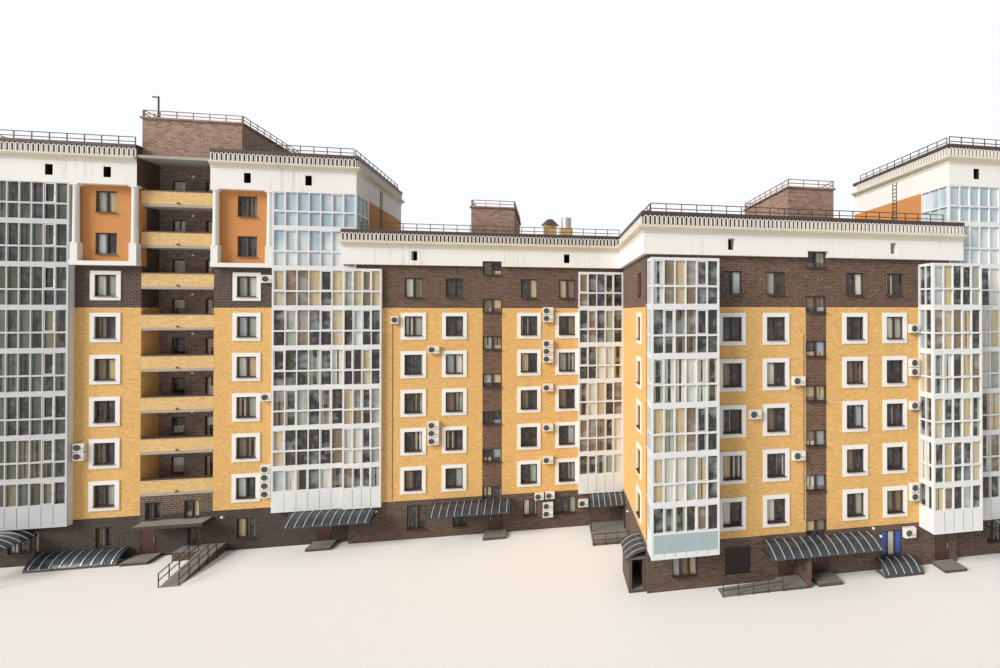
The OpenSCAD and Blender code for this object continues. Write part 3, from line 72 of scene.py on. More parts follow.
@dataclass(frozen=True)
class Layout:
    """The block's own sizes, as part.scad has them."""

    storey: float = 1.5
    inset: float = 0.09
    wall: float = 0.25
    bar_front: float = -3.12
    pier_front: float = -2.87
    corner_front: float = -8.85
    end_front: float = -8.6
    loggia_back: float = -1.97
    left_end: float = -18.115
    corner_left: float = 4.295
    tall_axis: float = -12.06
    middle_axis: float = -0.98
    corner_axis: float = 10.06


PLAN = Layout()
LOW_VENTS = (10.843, 11.218)
TALL_VENTS = (13.616, 13.992)
VENT_WIDTH = 0.225
WIDEST_WINDOW = 0.9
SHUTTER = (880, 880)  # millimetres, as in the next two: the sizes by which panes are told apart
BARRED = ((400, 640), (520, 640))
SHOP_WIDTH = 830


def millimetres(length: float) -> int:
    """Gives a length in whole millimetres, to tell sizes apart."""
    return round(length * 1000)


# Node trees


def arithmetic(operation: str, swapped: bool = False) -> Callable[["Wire", object], "Wire"]:
    """Makes an operator of Wire.

    Args:
        operation: The Math node's operation.
        swapped: Whether the wire is the second input.

    Returns:
        The operator's method.
    """
    def method(wire: "Wire", other: object) -> "Wire":
        return wire.graph.math(operation, *((other, wire) if swapped else (wire, other)))

    return method


@dataclass(frozen=True, eq=False)
class Wire:
    """An output of a node. Each operator on it adds a Math node."""

    graph: "Graph"
    socket: bpy.types.NodeSocket

    __add__ = __radd__ = arithmetic("ADD")
    __mul__ = __rmul__ = arithmetic("MULTIPLY")
    __sub__ = arithmetic("SUBTRACT")
    __rsub__ = arithmetic("SUBTRACT", swapped=True)
    __truediv__ = arithmetic("DIVIDE")
    __gt__ = arithmetic("GREATER_THAN")
    __lt__ = arithmetic("LESS_THAN")

    def __abs__(self) -> "Wire":
        return self.graph.math("ABSOLUTE", self)

    def beside(self, out: str) -> "Wire":
        """Gives another output of the same node."""
        return Wire(self.graph, self.socket.node.outputs[out])


class Graph:
    """A node tree under construction."""

    def __init__(self, tree: bpy.types.NodeTree) -> None:
        """Takes the tree that the nodes go into."""
        self.tree = tree

    def feed(self, value: object, socket: bpy.types.NodeSocket) -> None:
        """Links a wire or writes a plain value.

        Args:
            value: A wire, number, vector, colour, text or material.
            socket: The input that takes it.
        """
        if isinstance(value, Wire):
            self.tree.links.new(value.socket, socket)
        elif socket.type == "RGBA" and len(value) == 3:
            socket.default_value = (*value, 1.0)
        else:
            socket.default_value = value

    def node(self, kind: str, *values: object, out: int | str = 0, setup: dict[str, str] | None = None,
             **inputs: object) -> Wire:
        """Adds a node.

        Args:
            kind: Its type.
            values: Its first inputs.
            out: The output to give back.
            setup: Its own settings.
            inputs: Inputs by name, with underscores for spaces.

        Returns:
            The output.
        """
        node = self.tree.nodes.new(kind)
        for key, value in (setup or {}).items():
            setattr(node, key, value)
        for value, socket in zip(values, node.inputs):
            self.feed(value, socket)
        for key, value in inputs.items():
            self.feed(value, node.inputs[key.replace("_", " ")])
        return Wire(self, node.outputs[out])

    def math(self, operation: str, *values: object) -> Wire:
        """Adds a Math node and gives its result."""
        return self.node("ShaderNodeMath", *values, setup={"operation": operation})

    def join(self, x: object = 0.0, y: object = 0.0, z: object = 0.0) -> Wire:
        """Makes a vector of three parts."""
        return self.node("ShaderNodeCombineXYZ", x, y, z)


class Board(Graph):
    """A material's node tree, with short calls for what the finishes share."""

    def __init__(self, name: str) -> None:
        """Starts a material.

        Args:
            name: The material's name.
        """
        self.material = bpy.data.materials.new(name)
        self.material.use_nodes = True
        super().__init__(self.material.node_tree)
        self.shader = self.tree.nodes["Principled BSDF"]
        self.place = self.node("ShaderNodeTexCoord", out="Object")

    def mix(self, factor: object, low: object, high: object, blend: str = "MIX") -> Wire:
        """Adds a colour Mix node.

        Args:
            factor: Share of the second colour.
            low: The first colour.
            high: The second colour.
            blend: The blend type.

        Returns:
            The mixed colour.
        """
        node = self.tree.nodes.new("ShaderNodeMix")
        node.data_type = "RGBA"
        node.blend_type = blend
        for value, slot in ((factor, 0), (low, 6), (high, 7)):
            self.feed(value, node.inputs[slot])
        return Wire(self, node.outputs[2])

    def tint(self, colour: object, value: Wire, low: Colour, high: Colour) -> Wire:
        """Multiplies a colour by one that a value picks between two others."""
        return self.mix(1.0, colour, self.mix(value, low, high), "MULTIPLY")

    def split(self, vector: Wire | None = None) -> list[Wire]:
        """Gives the three parts of a vector, the object's own coordinates if none is named."""
        first = self.node("ShaderNodeSeparateXYZ", vector or self.place)
        return [first, first.beside("Y"), first.beside("Z")]

    def noise(self, scale: float, detail: float = 3.0, stretch: Point = (1.0, 1.0, 1.0)) -> Wire:
        """Adds a noise on the object's own coordinates.

        Args:
            scale: Cells to a metre.
            detail: Octaves.
            stretch: Scale along each axis.

        Returns:
            The noise from 0 to 1.
        """
        place = self.node("ShaderNodeMapping", Vector=self.place, Scale=stretch)
        return self.node("ShaderNodeTexNoise", out="Fac", Vector=place, Scale=scale, Detail=detail)

    def span(self, value: Wire, low: float, high: float, to_low: float = 0.0, to_high: float = 1.0) -> Wire:
        """Maps a value from one range to another, held at the ends."""
        return self.node("ShaderNodeMapRange", value, low, high, to_low, to_high)

    def attribute(self, name: str) -> Wire:
        """Reads a number stored on the mesh."""
        return self.node("ShaderNodeAttribute", out="Fac", setup={"attribute_name": name})

    def facing_side(self) -> Wire:
        """Gives 1 on faces that look along X and 0 on the others."""
        return abs(self.split(self.node("ShaderNodeNewGeometry", out="Normal"))[0]) > 0.7

    def along(self, side: Wire) -> Wire:
        """Gives the place along a wall: Y on faces that look along X, and X on the others."""
        x, y, _ = self.split()
        return self.split(self.mix(side, self.join(x), self.join(y)))[0]

    def bump(self, height: Wire, strength: float, distance: float) -> None:
        """Feeds the shader's normal from a height.

        Args:
            height: The height from 0 to 1.
            strength: Share of the effect.
            distance: Height of the relief in metres.
        """
        relief = self.node("ShaderNodeBump", Height=height, Strength=strength, Distance=distance)
        self.feed(relief, self.shader.inputs["Normal"])

    def shade(self, colour: Wire, roughness: object, metallic: float = 0.0, alpha: float = 1.0) -> None:
        """Sets the shader's colour, roughness, metallic share and alpha."""
        for key, value in (("Base Color", colour), ("Roughness", roughness), ("Metallic", metallic), ("Alpha", alpha)):
            self.feed(value, self.shader.inputs[key])


class Tree(Graph):
    """A Geometry Nodes tree under construction."""

    def __init__(self, name: str, **sizes: float) -> None:
        """Starts a tree with a geometry input and a number input for each size.

        Args:
            name: The tree's name.
            sizes: Input names and their values.
        """
        super().__init__(bpy.data.node_groups.new(name, "GeometryNodeTree"))
        for way in ("INPUT", "OUTPUT"):
            self.tree.interface.new_socket("Geometry", in_out=way, socket_type="NodeSocketGeometry")
        self.values: dict[str, float] = {}
        for key, value in sizes.items():
            socket = self.tree.interface.new_socket(key, in_out="INPUT", socket_type="NodeSocketFloat")
            socket.default_value = value
            self.values[socket.identifier] = value
        source = self.tree.nodes.new("NodeGroupInput")
        self.sizes = [Wire(self, source.outputs[key]) for key in sizes]
        self.points = Wire(self, source.outputs["Geometry"])

    def moved(self, shape: Wire, place: object, turn: Point = (0.0, 0.0, 0.0)) -> Wire:
        """Turns a geometry, then moves it to a place."""
        return self.node("GeometryNodeTransform", Geometry=shape, Translation=place, Rotation=turn)

    def cube(self, size: Wire | Point, place: Wire | Point) -> Wire:
        """Adds a box of a size at a place."""
        return self.moved(self.node("GeometryNodeMeshCube", Size=size), place)

    def frame(self, width: Wire, height: Wire, bar: Wire, depth: Wire) -> Wire:
        """Adds a mitred rectangular frame in X and Z, measured outside, its bars bar wide and depth deep."""
        path, section = (self.node("GeometryNodeCurvePrimitiveQuadrilateral", across, up)
                         for across, up in ((width - bar, height - bar), (bar * math.sqrt(2.0), depth)))
        swept = self.node("GeometryNodeCurveToMesh", Curve=path, Profile_Curve=section)
        return self.moved(swept, (0.0, 0.0, 0.0), UPRIGHT)

    def together(self, parts: Iterable[Wire]) -> Wire:
        """Joins geometries."""
        node = self.tree.nodes.new("GeometryNodeJoinGeometry")
        for part in parts:
            self.feed(part, node.inputs[0])
        return Wire(self, node.outputs[0])

    def on_points(self, shape: Wire, material: Material) -> None:
        """Ends the tree: a copy of the shape on each point, turned by the point's own turn.

        Args:
            shape: The shape that is repeated.
            material: Its finish.
        """
        turn = self.node("GeometryNodeInputNamedAttribute", "turn", out="Attribute", setup={"data_type": "FLOAT"})
        copies = self.node("GeometryNodeInstanceOnPoints", Points=self.points, Instance=shape)
        turned = self.node("GeometryNodeRotateInstances", Instances=copies, Rotation=self.join(z=turn))
        real = self.node("GeometryNodeRealizeInstances", Geometry=turned)
        dressed = self.node("GeometryNodeSetMaterial", Geometry=real, Material=material)
        self.feed(dressed, self.tree.nodes.new("NodeGroupOutput").inputs[0])


# Finishes


def grey(level: float) -> Colour:
    """Makes a grey."""
    return level, level, level


YELLOW: Colour = (0.71, 0.425, 0.148)
BROWN: Colour = (0.095, 0.053, 0.037)
DARK_BROWN: Colour = (0.052, 0.034, 0.027)
BASE: Colour = (0.085, 0.054, 0.040)
DARK_BASE: Colour = (0.042, 0.031, 0.025)
ORANGE: Colour = (0.57, 0.245, 0.078)
WHITE: Colour = (0.80, 0.79, 0.77)
CREAM: Colour = (0.74, 0.67, 0.56)


@dataclass(frozen=True)
class Band:
    """A height band of a wall, from its foot to the foot of the next."""

    foot: float
    colour: Colour
    kind: Masonry = BRICK


TALL_BANDS = (Band(0.0, DARK_BASE, BLOCK), Band(1.5, YELLOW), Band(9.0, DARK_BROWN, BLOCK),
              Band(10.5, ORANGE, PLASTER), Band(13.375, WHITE, PLASTER))
LOW_BANDS = (Band(0.0, BASE, BLOCK), Band(1.5, YELLOW), Band(9.0, BROWN, BLOCK),
             Band(10.665, WHITE, PLASTER))


@dataclass(frozen=True)
class Unit:
    """A brick or block as laid, joints included, with the spread of its tones and the joints' share."""

    length: float
    course: float
    joint: float
    dark: Colour
    pale: Colour
    pointing: float


UNITS = {BRICK: Unit(0.13, 0.0375, 0.004, (0.88, 0.86, 0.82), (1.10, 1.11, 1.12), 0.20),
         BLOCK: Unit(0.20, 0.075, 0.008, (0.62, 0.61, 0.62), (1.30, 1.26, 1.22), 0.45)}


@dataclass(frozen=True)
class Finish:
    """A procedural material, and the CAD nodes that wear it."""

    name: str
    nodes: str = field(default="", kw_only=True)

    def build(self) -> Material:
        """Builds the material.

        Returns:
            The material.
        """
        board = Board(self.name)
        self.paint(board)
        return board.material

    def paint(self, board: Board) -> None:
        """Adds the finish's own nodes.

        Args:
            board: The material's node tree.
        """
        raise NotImplementedError


@dataclass(frozen=True)
class WallFinish(Finish):
    """Facing brick, split blocks and plaster in height bands, with dark strips at the stairs."""

    bands: tuple[Band, ...]
    strips: tuple[tuple[float, float, float], ...] = ()
    strip_colour: Colour = (0.115, 0.060, 0.038)
    mortar: Colour = (0.33, 0.24, 0.18)
    reveal: Colour = (0.46, 0.43, 0.39)

    def paint(self, board: Board) -> None:
        """Adds the bands, the courses, the mortar's splashes and the tones of the firing."""
        x, _, z = board.split()
        u = board.along(board.facing_side())
        colour: object = self.bands[0].colour
        kind: object = self.bands[0].kind.value
        for band in self.bands[1:]:
            above = z > band.foot
            colour = board.mix(above, colour, band.colour)
            kind = kind * (1.0 - above) + above * band.kind.value
        reveal = board.attribute("reveal")
        colour = board.mix(reveal, colour, self.reveal)
        kind = board.math("MAXIMUM", kind, reveal * PLASTER.value)
        for centre, half, top in self.strips:
            inside = (abs(x - centre) < half) * (z < top)
            colour = board.mix(inside, colour, self.strip_colour)
            kind = board.math("MAXIMUM", kind, inside)
        coarse, plain = kind > BLOCK.value - 0.5, kind > PLASTER.value - 0.5
        faces, joints = [], []
        for unit in UNITS.values():
            tone = board.node("ShaderNodeTexBrick", out="Color", Vector=board.join(u, z), Color1=unit.dark,
                              Color2=unit.pale, Mortar=grey(1.0), Scale=1.0, Mortar_Size=unit.joint, Bias=0.0,
                              Mortar_Smooth=0.3, Brick_Width=unit.length, Row_Height=unit.course)
            joints.append(tone.beside("Fac"))
            laid = board.mix(1.0, colour, tone, "MULTIPLY")
            faces.append(board.mix(joints[-1] * unit.pointing, laid, self.mortar))
        splashes = board.span(board.noise(16.0, 5.0), 0.60, 0.72, 0.0, 0.7) * coarse
        face = board.mix(coarse, faces[0], board.mix(splashes, faces[1], self.mortar))
        face = board.mix(plain, face, board.tint(colour, board.noise(9.0, 5.0), grey(0.95), grey(1.04)))
        fired = board.tint(face, board.noise(17.0, 6.0, (0.6, 0.6, 1.3)), (0.74, 0.71, 0.66), (1.22, 1.25, 1.30))
        face = board.mix(1.0 - plain, face, fired)
        face = board.tint(face, board.noise(0.45), (0.92, 0.91, 0.90), (1.07, 1.07, 1.08))
        deep = joints[0] * (1.0 - coarse) + joints[1] * coarse
        relief = (1.0 - deep) * (1.0 - plain)
        board.bump(relief + board.noise(60.0) * 0.15, 0.4, 0.0015)
        board.shade(face, board.span(board.noise(20.0), 0.3, 0.7, 0.78, 0.92))


@dataclass(frozen=True)
class PlasterFinish(Finish):
    """Painted plaster with soft runs below its edges, and dark faces above a height, behind the rings."""

    colour: Colour
    dark_from: float = BEYOND
    recess: tuple[float, float] = (0.0, 0.0)
    dark: Colour = (0.045, 0.032, 0.028)
    soot: Colour = (0.36, 0.33, 0.30)
    hollow: Colour = (0.012, 0.010, 0.010)

    def paint(self, board: Board) -> None:
        """Adds the blotches, the runs, the brown sides of the recess and painted shade inside the vents."""
        x, _, z = board.split()
        face = board.tint(self.colour, board.noise(0.9, 6.0), (0.94, 0.93, 0.91), grey(1.03))
        runs = board.span(board.noise(5.0, 6.0, (2.2, 2.2, 0.12)), 0.52, 0.70)
        places = board.span(board.noise(0.35, 2.0), 0.48, 0.62)
        face = board.mix(runs * places * 0.5, face, self.soot)
        face = board.mix(z > self.dark_from, face, self.dark)
        middle, half = self.recess
        face = board.mix(board.facing_side() * (abs(x - middle) < half), face, BROWN)
        # Painted shade: the faces inside the vent holes are near black.
        face = board.mix(board.attribute("hollow"), face, self.hollow)
        board.bump(board.noise(90.0, 4.0), 0.2, 0.001)
        board.shade(face, board.span(board.noise(12.0), 0.3, 0.7, 0.68, 0.86))


@dataclass(frozen=True)
class PaintFinish(Finish):
    """Painted or coated metal and plastic, with dust, slight waves and worn places."""

    colour: Colour
    roughness: float = 0.4
    metallic: float = 0.0
    worn: Colour = (0.25, 0.22, 0.20)
    wear: float = 0.15
    alpha: float = 1.0

    def paint(self, board: Board) -> None:
        """Adds the dust, the worn places and the waves."""
        face = board.tint(self.colour, board.noise(2.4, 4.0), grey(0.90), grey(1.08))
        face = board.mix(board.span(board.noise(14.0, 6.0), 0.60, 0.72) * self.wear, face, self.worn)
        board.bump(board.noise(45.0), 0.15, 0.001)
        dull = board.span(board.noise(8.0), 0.3, 0.7, self.roughness - 0.08, self.roughness + 0.12)
        board.shade(face, dull, self.metallic, self.alpha)


@dataclass(frozen=True)
class GlassFinish(Finish):
    """Window glass whose panes differ in tone, by what hangs behind them, with painted reflections of clouds and sky.
    The mesh says where panes start.
    """

    dark: Colour = (0.016, 0.018, 0.020)
    curtains: tuple[Colour, ...] = ((0.66, 0.52, 0.30), (0.42, 0.45, 0.36), (0.78, 0.77, 0.68), (0.26, 0.18, 0.11))
    pale_share: float = 0.3
    parted_share: float = 2.2
    things: Colour = (0.11, 0.09, 0.065)
    gloom: Colour = (0.10, 0.08, 0.06)
    # Painted reflections: the sky's tones and where they show, and the clouds' tone and share.
    sky: Colour = (0.42, 0.54, 0.62)
    bright_sky_reflection: Colour = (0.72, 0.78, 0.80)
    sky_reflection_share: float = 0.0
    sky_reflection_from: float = BEYOND
    sky_reflection_right_of: float = -9.2
    cloud_reflection: Colour = (0.52, 0.60, 0.62)
    glare: float = 0.12

    def paint(self, board: Board) -> None:
        """Adds the rooms, the curtains by chance, painted reflections of clouds, and a painted reflection of the sky on
        the upper panes and on some panes by chance.
        """
        x, _, z = board.split()
        side = board.facing_side()
        start = board.attribute("pane_start")
        place = (board.along(side) - start) / board.attribute("pane_pitch")
        storey = board.math("FLOOR", z / PLAN.storey)
        seat = board.math("ROUND", start * 20.0) * 3.0 + board.math("FLOOR", place)
        chance = board.node("ShaderNodeTexWhiteNoise", out="Color", setup={"noise_dimensions": "3D"},
                            Vector=board.join(seat, storey, side))
        tone, flat, cloth = board.split(chance)
        off_centre = abs(board.math("FRACT", place) - 0.5)
        parted = (off_centre > flat * 0.5) * (tone < min(1.0, self.pale_share * self.parted_share))
        drawn = board.math("MAXIMUM", tone < self.pale_share, parted)
        hung: object = self.curtains[0]
        for i, curtain in enumerate(self.curtains[1:], 1):
            hung = board.mix(cloth > i / len(self.curtains), hung, curtain)
        behind = board.tint(hung, board.noise(7.0, 3.0, (3.0, 3.0, 0.15)), grey(0.45), grey(1.30))
        things = board.span(board.noise(6.0, 5.0, (1.6, 1.6, 0.7)), 0.50, 0.66)
        room = board.mix(flat * 0.2, board.mix(things, self.dark, self.things), self.gloom)
        face = board.mix(drawn * 0.9, room, behind)
        # Painted reflections of clouds, patchy over every pane.
        cloud_reflections = board.span(board.noise(1.5, 5.0, (1.0, 1.0, 1.6)), 0.50, 0.64, 0.0, self.glare)
        face = board.mix(cloud_reflections, face, self.cloud_reflection)
        # Painted reflection of the sky, in streaks: on the high panes right of a line, and on some panes by chance.
        high = (z > self.sky_reflection_from) * (x > self.sky_reflection_right_of)
        bright = board.math("MAXIMUM", high * 0.85, (flat > 1.0 - self.sky_reflection_share) * 0.6)
        reflection_streaks = board.span(board.noise(1.1, 4.0, (1.0, 1.0, 0.5)), 0.42, 0.60)
        face = board.mix(bright, face, board.mix(reflection_streaks, self.sky, self.bright_sky_reflection))
        board.bump(board.noise(1.2, 1.0), 0.04, 0.01)
        board.shade(face, 0.08, alpha=0.95)


@dataclass(frozen=True)
class SlabFinish(Finish):
    """Cast concrete, stone or roofing felt with grain, stains and joints."""

    colour: Colour
    joint: float = 0.0

    def paint(self, board: Board) -> None:
        """Adds the stains, the joints and the grain."""
        face = board.tint(self.colour, board.noise(1.3, 6.0), grey(0.72), grey(1.15))
        if self.joint > 0.0:
            edge = board.math("FRACT", board.split()[0] / self.joint) < 0.03
            face = board.mix(edge * 0.5, face, grey(0.02))
        board.bump(board.noise(70.0, 4.0), 0.4, 0.003)
        board.shade(face, 0.88)


# Meshes


def corners_of(spots: Sequence[Vector]) -> tuple[Vector, Vector]:
    """Gives the low and high corners of the box round some points."""
    low, high = (Vector([pick(spot[axis] for spot in spots) for axis in range(3)]) for pick in (min, max))
    return low, high


@dataclass(frozen=True)
class Part:
    """One separate solid of a CAD node, by its corners and the faces that make it."""

    low: Vector
    high: Vector
    faces: tuple[int, ...] = ()

    @property
    def size(self) -> Vector:
        """Its length along each axis."""
        return self.high - self.low

    @property
    def centre(self) -> Vector:
        """Its middle."""
        return (self.low + self.high) / 2

    @property
    def run(self) -> int:
        """The axis along its wall: 0 for X, 1 for Y."""
        return 0 if self.size.x > self.size.y else 1

    @property
    def key(self) -> tuple[int, int]:
        """Its width along its wall and its height, in millimetres."""
        return millimetres(self.size[self.run]), millimetres(self.size.z)


def parts_of(node: str) -> list[Part]:
    """Splits a CAD node's mesh into its separate solids.

    Args:
        node: The node's name.

    Returns:
        The solids, left to right.
    """
    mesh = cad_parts[node].data
    corners: dict[Point, int] = {}
    corner = [corners.setdefault(tuple(round(c, 5) for c in vertex.co), len(corners)) for vertex in mesh.vertices]
    root = list(range(len(corners)))

    def top(i: int) -> int:
        while root[i] != i:
            root[i] = root[root[i]]
            i = root[i]
        return i

    for polygon in mesh.polygons:
        first = top(corner[polygon.vertices[0]])
        for other in polygon.vertices[1:]:
            root[top(corner[other])] = first
    groups: dict[int, list[int]] = {}
    for polygon in mesh.polygons:
        groups.setdefault(top(corner[polygon.vertices[0]]), []).append(polygon.index)
    found = [Part(*corners_of([mesh.vertices[v].co for f in faces for v in mesh.polygons[f].vertices]), tuple(faces))
             for faces in groups.values()]
    return sorted(found, key=lambda part: tuple(part.low))


def mark_faces(node: str, name: str, values: Iterable[tuple[int, float]]) -> None:
    """Stores a number on faces of a node, for its finish to read.

    Args:
        node: The CAD node.
        name: The attribute.
        values: Faces and their numbers. The other faces have 0.
    """
    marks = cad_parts[node].data.attributes.new(name, "FLOAT", "FACE")
    for face, value in values:
        marks.data[face].value = value


def mark_panes(node: str, marks: Sequence[tuple[Part, float, float]]) -> None:
    """Stores the start and width of the panes of each sheet of glass.

    Args:
        node: The CAD node.
        marks: A sheet, the start of its first pane and the distance from pane to pane.
    """
    for name, item in (("pane_start", 1), ("pane_pitch", 2)):
        mark_faces(node, name, [(face, mark[item]) for mark in marks for face in mark[0].faces])


def mark_holes(node: str, name: str, foot: float, top: float, widest: float) -> None:
    """Marks the faces inside the holes of a wall.

    Args:
        node: The wall's node.
        name: The attribute.
        foot: Height above which the holes lie.
        top: Height below which they lie.
        widest: Width of the widest hole.
    """
    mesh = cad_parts[node].data
    deepest, tallest, slack = PLAN.wall + 0.01, 1.0, 0.002
    inside = []
    for face in mesh.polygons:
        low, high = corners_of([mesh.vertices[v].co for v in face.vertices])
        wide, deep, tall = (b - a for a, b in zip(low, high))
        within = foot - slack < low.z and high.z < top + slack and tall < tallest
        level = abs(face.normal.z) > 0.9 and wide < widest + 0.01
        if within and deep < deepest and (abs(face.normal.x) > 0.9 or level):
            inside.append((face.index, 1.0))
    mark_faces(node, name, inside)


def placed(name: str, data: bpy.types.ID) -> bpy.types.Object:
    """Puts a mesh, lamp or camera into the scene, at the origin."""
    item = bpy.data.objects.new(name, data)
    bpy.context.scene.collection.objects.link(item)
    return item


@dataclass
class Solids:
    """Boxes and round bars gathered into one mesh."""

    verts: list[Point] = field(default_factory=list)
    faces: list[tuple[int, ...]] = field(default_factory=list)

    def box(self, low: Point, high: Point) -> "Solids":
        """Adds a box between two corners."""
        base = len(self.verts)
        for z in (low[2], high[2]):
            self.verts += [(low[0], low[1], z), (high[0], low[1], z), (high[0], high[1], z), (low[0], high[1], z)]
        for quad in ((3, 2, 1, 0), (4, 5, 6, 7), (0, 1, 5, 4), (1, 2, 6, 5), (2, 3, 7, 6), (3, 0, 4, 7)):
            self.faces.append(tuple(base + i for i in quad))
        return self

    def bar(self, start: Point, end: Point, radius: float, sides: int = 8) -> "Solids":
        """Adds a round bar between two points."""
        a, b = Vector(start), Vector(end)
        turn = (b - a).to_track_quat("Z", "Y")
        base = len(self.verts)
        for p in (a, b):
            for i in range(sides):
                t = 2 * math.pi * i / sides
                self.verts.append(tuple(p + turn @ Vector((radius * math.cos(t), radius * math.sin(t), 0.0))))
        self.faces.append(tuple(base + i for i in reversed(range(sides))))
        self.faces.append(tuple(base + sides + i for i in range(sides)))
        for i in range(sides):
            j = (i + 1) % sides
            self.faces.append((base + i, base + j, base + sides + j, base + sides + i))
        return self

    def piece(self, name: str, material: Material, bevel: float = 0.0) -> bpy.types.Object:
        """Makes the object.

        Args:
            name: The piece's name.
            material: Its finish.
            bevel: Width of its edges' bevel, or 0.

        Returns:
            The object, at the origin.
        """
        mesh = bpy.data.meshes.new(name)
        mesh.from_pydata(self.verts, [], self.faces)
        mesh.validate()
        mesh.materials.append(material)
        piece = placed(name, mesh)
        if bevel > 0.0:
            edge = piece.modifiers.new("edges", "BEVEL")
            edge.width = bevel
            edge.segments = 1
            edge.limit_method = "ANGLE"
        return piece


# Sub-assemblies


@dataclass
class Assembly:
    """Some pieces laid over the CAD."""

    made: dict[str, Material]

    def build(self) -> None:
        """Makes the pieces."""
        raise NotImplementedError

    def seat(self, piece: bpy.types.Object, body: str = BODY) -> None:
        """Seats a piece on the body that carries it and reports it."""
        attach(piece, body)
        LOG.info("%s: %d faces", piece.name, len(piece.data.polygons))

    def add(self, name: str, solids: Solids, finish: str, bevel: float = 0.0, body: str = BODY) -> None:
        """Makes and seats a piece of solids.

        Args:
            name: The piece's name.
            solids: Its solids.
            finish: Its finish.
            bevel: Width of its edges' bevel, or 0.
            body: The body that carries it.
        """
        self.seat(solids.piece(name, self.made[finish], bevel), body)

    def repeat(self, name: str, shape: Wire, finish: str, places: Places) -> None:
        """Puts a tree's shape at each place, and makes and seats a plain mesh of the result.

        Args:
            name: The piece's name.
            shape: The shape that is repeated.
            finish: Its finish.
            places: Where each copy stands, and which way it looks.
        """
        tree = shape.graph
        tree.on_points(shape, self.made[finish])
        points = bpy.data.meshes.new(name + "_points")
        points.from_pydata([point for point, _ in places], [], [])
        turns = points.attributes.new("turn", "FLOAT", "POINT")
        for mark, (_, facing) in zip(turns.data, places):
            mark.value = facing.value
        seed = placed(name + "_points", points)
        modifier = seed.modifiers.new("copies", "NODES")
        modifier.node_group = tree.tree
        for key, value in tree.values.items():
            modifier[key] = value
        graph = bpy.context.evaluated_depsgraph_get()
        mesh = bpy.data.meshes.new_from_object(seed.evaluated_get(graph), preserve_all_data_layers=True,
                                               depsgraph=graph)
        seed.modifiers.remove(modifier)
        bpy.data.objects.remove(seed)
        mesh.name = name
        self.seat(placed(name, mesh))


@dataclass
class Windows(Assembly):
    """Joinery and sills of every window, laid over the panes of the CAD."""

    bar: float = 0.036
    depth: float = 0.05
    sash: float = 0.024
    widest_sash: float = 0.3
    gap: float = 0.001
    sill_reach: float = 0.045
    sill_sheet: float = 0.012
    sill_drip: float = 0.028
    sill_play: float = 0.004
    tallest_sill: float = 1.0

    def facing(self, pane: Part) -> Facing:
        """Says which way a pane looks, from its depth in its wall."""
        p = PLAN
        outer = round(pane.low[1 - pane.run] - p.inset, 3)
        if pane.run == 1:
            return Facing.LEFT if outer in (p.left_end, p.corner_left) else Facing.RIGHT
        fronts = (p.pier_front, p.bar_front, p.corner_front, p.end_front, p.loggia_back)
        return Facing.FRONT if outer in fronts else Facing.BACK

    def sashes(self, width: float) -> int:
        """Number of sashes side by side in a width."""
        return max(1, round(width / self.widest_sash))

    def joinery(self, name: str, width: float, height: float) -> Wire:
        """Draws the frame and sashes of an opening."""
        tree = Tree(name, Width=width, Height=height, Bar=self.bar, Depth=self.depth, Sash=self.sash)
        across, up, bar, depth, sash = tree.sizes
        count = self.sashes(width)
        share = across / float(count)
        parts = [tree.frame(across, up, bar, depth)]
        for i in range(count):
            leaf = tree.frame(share - bar, up - bar, sash, depth * 0.5)
            parts.append(tree.moved(leaf, tree.join(share * (i + 0.5 - count / 2))))
        for i in range(1, count):
            parts.append(tree.cube(tree.join(bar, depth, up - bar), tree.join(share * (i - count / 2))))
        return tree.together(parts)

    def sill(self, name: str, width: float, height: float) -> Wire:
        """Draws the metal sill of an opening: a sheet to the wall's face and a drip edge."""
        tree = Tree(name, Width=width - self.sill_play, Drop=height / 2, Sheet=self.sill_sheet,
                    Reach=PLAN.inset + self.sill_reach, Drip=self.sill_drip)
        across, drop, thick, reach, drip = tree.sizes
        low = self.sill_sheet / 2 - drop
        sheet = tree.cube(tree.join(across, reach, thick), tree.join(0.0, reach * -0.5, low))
        lip = tree.cube(tree.join(across, thick, drip), tree.join(0.0, reach * -1.0, low))
        return tree.together([sheet, lip])

    def build(self) -> None:
        """Makes all the joinery and sills, and marks the panes."""
        marks, kinds = [], {}
        for pane in parts_of("window_glass"):
            width, facing = pane.size[pane.run], self.facing(pane)
            marks.append((pane, pane.low[pane.run], width / self.sashes(width)))
            out = Vector((math.sin(facing.value), -math.cos(facing.value), 0.0))
            face = pane.centre + out * (pane.size[1 - pane.run] / 2 + self.depth / 2 + self.gap)
            if pane.key != SHUTTER:
                kinds.setdefault(pane.key, []).append((tuple(face), facing))
        mark_panes("window_glass", marks)
        for key, places in sorted(kinds.items()):
            name, (width, height) = "window_{}_{}".format(*key), (length / 1000 for length in key)
            self.repeat(name + "_sashes", self.joinery(name + "_sashes_tree", width, height), "sash_paint", places)
            if height < self.tallest_sill:
                self.repeat(name + "_sills", self.sill(name + "_sills_tree", width, height), "brown_steel", places)


@dataclass(frozen=True)
class Lattice:
    """The upright bars of a bay's front: its left edge, front plane, width and panes side by side."""

    left: float
    front: float
    width: float
    panes: int
    glazed_skirt: bool = False
    edge: float = 0.06
    mullion: float = 0.036

    @property
    def pitch(self) -> float:
        """Distance from pane to pane."""
        return (self.width - 2 * self.edge + self.mullion) / self.panes

    @property
    def clear(self) -> float:
        """Clear width of a pane."""
        return self.pitch - self.mullion

    def start(self, i: int) -> float:
        """Left edge of a pane, counted from 0."""
        return self.left + self.edge + i * self.pitch

    def holds(self, sheet: Part) -> bool:
        """Says whether a sheet of glass stands behind this front."""
        near = sheet.run == 0 and abs(sheet.low.y - self.edge - self.front) < 0.01
        return near and self.left < sheet.centre.x < self.left + self.width

    def seen(self, sheet: Part, slack: float = 0.02) -> list[int]:
        """Gives the panes that a sheet fills."""
        return [i for i in range(self.panes) if sheet.low.x - slack < self.start(i) < sheet.high.x - self.clear + slack]


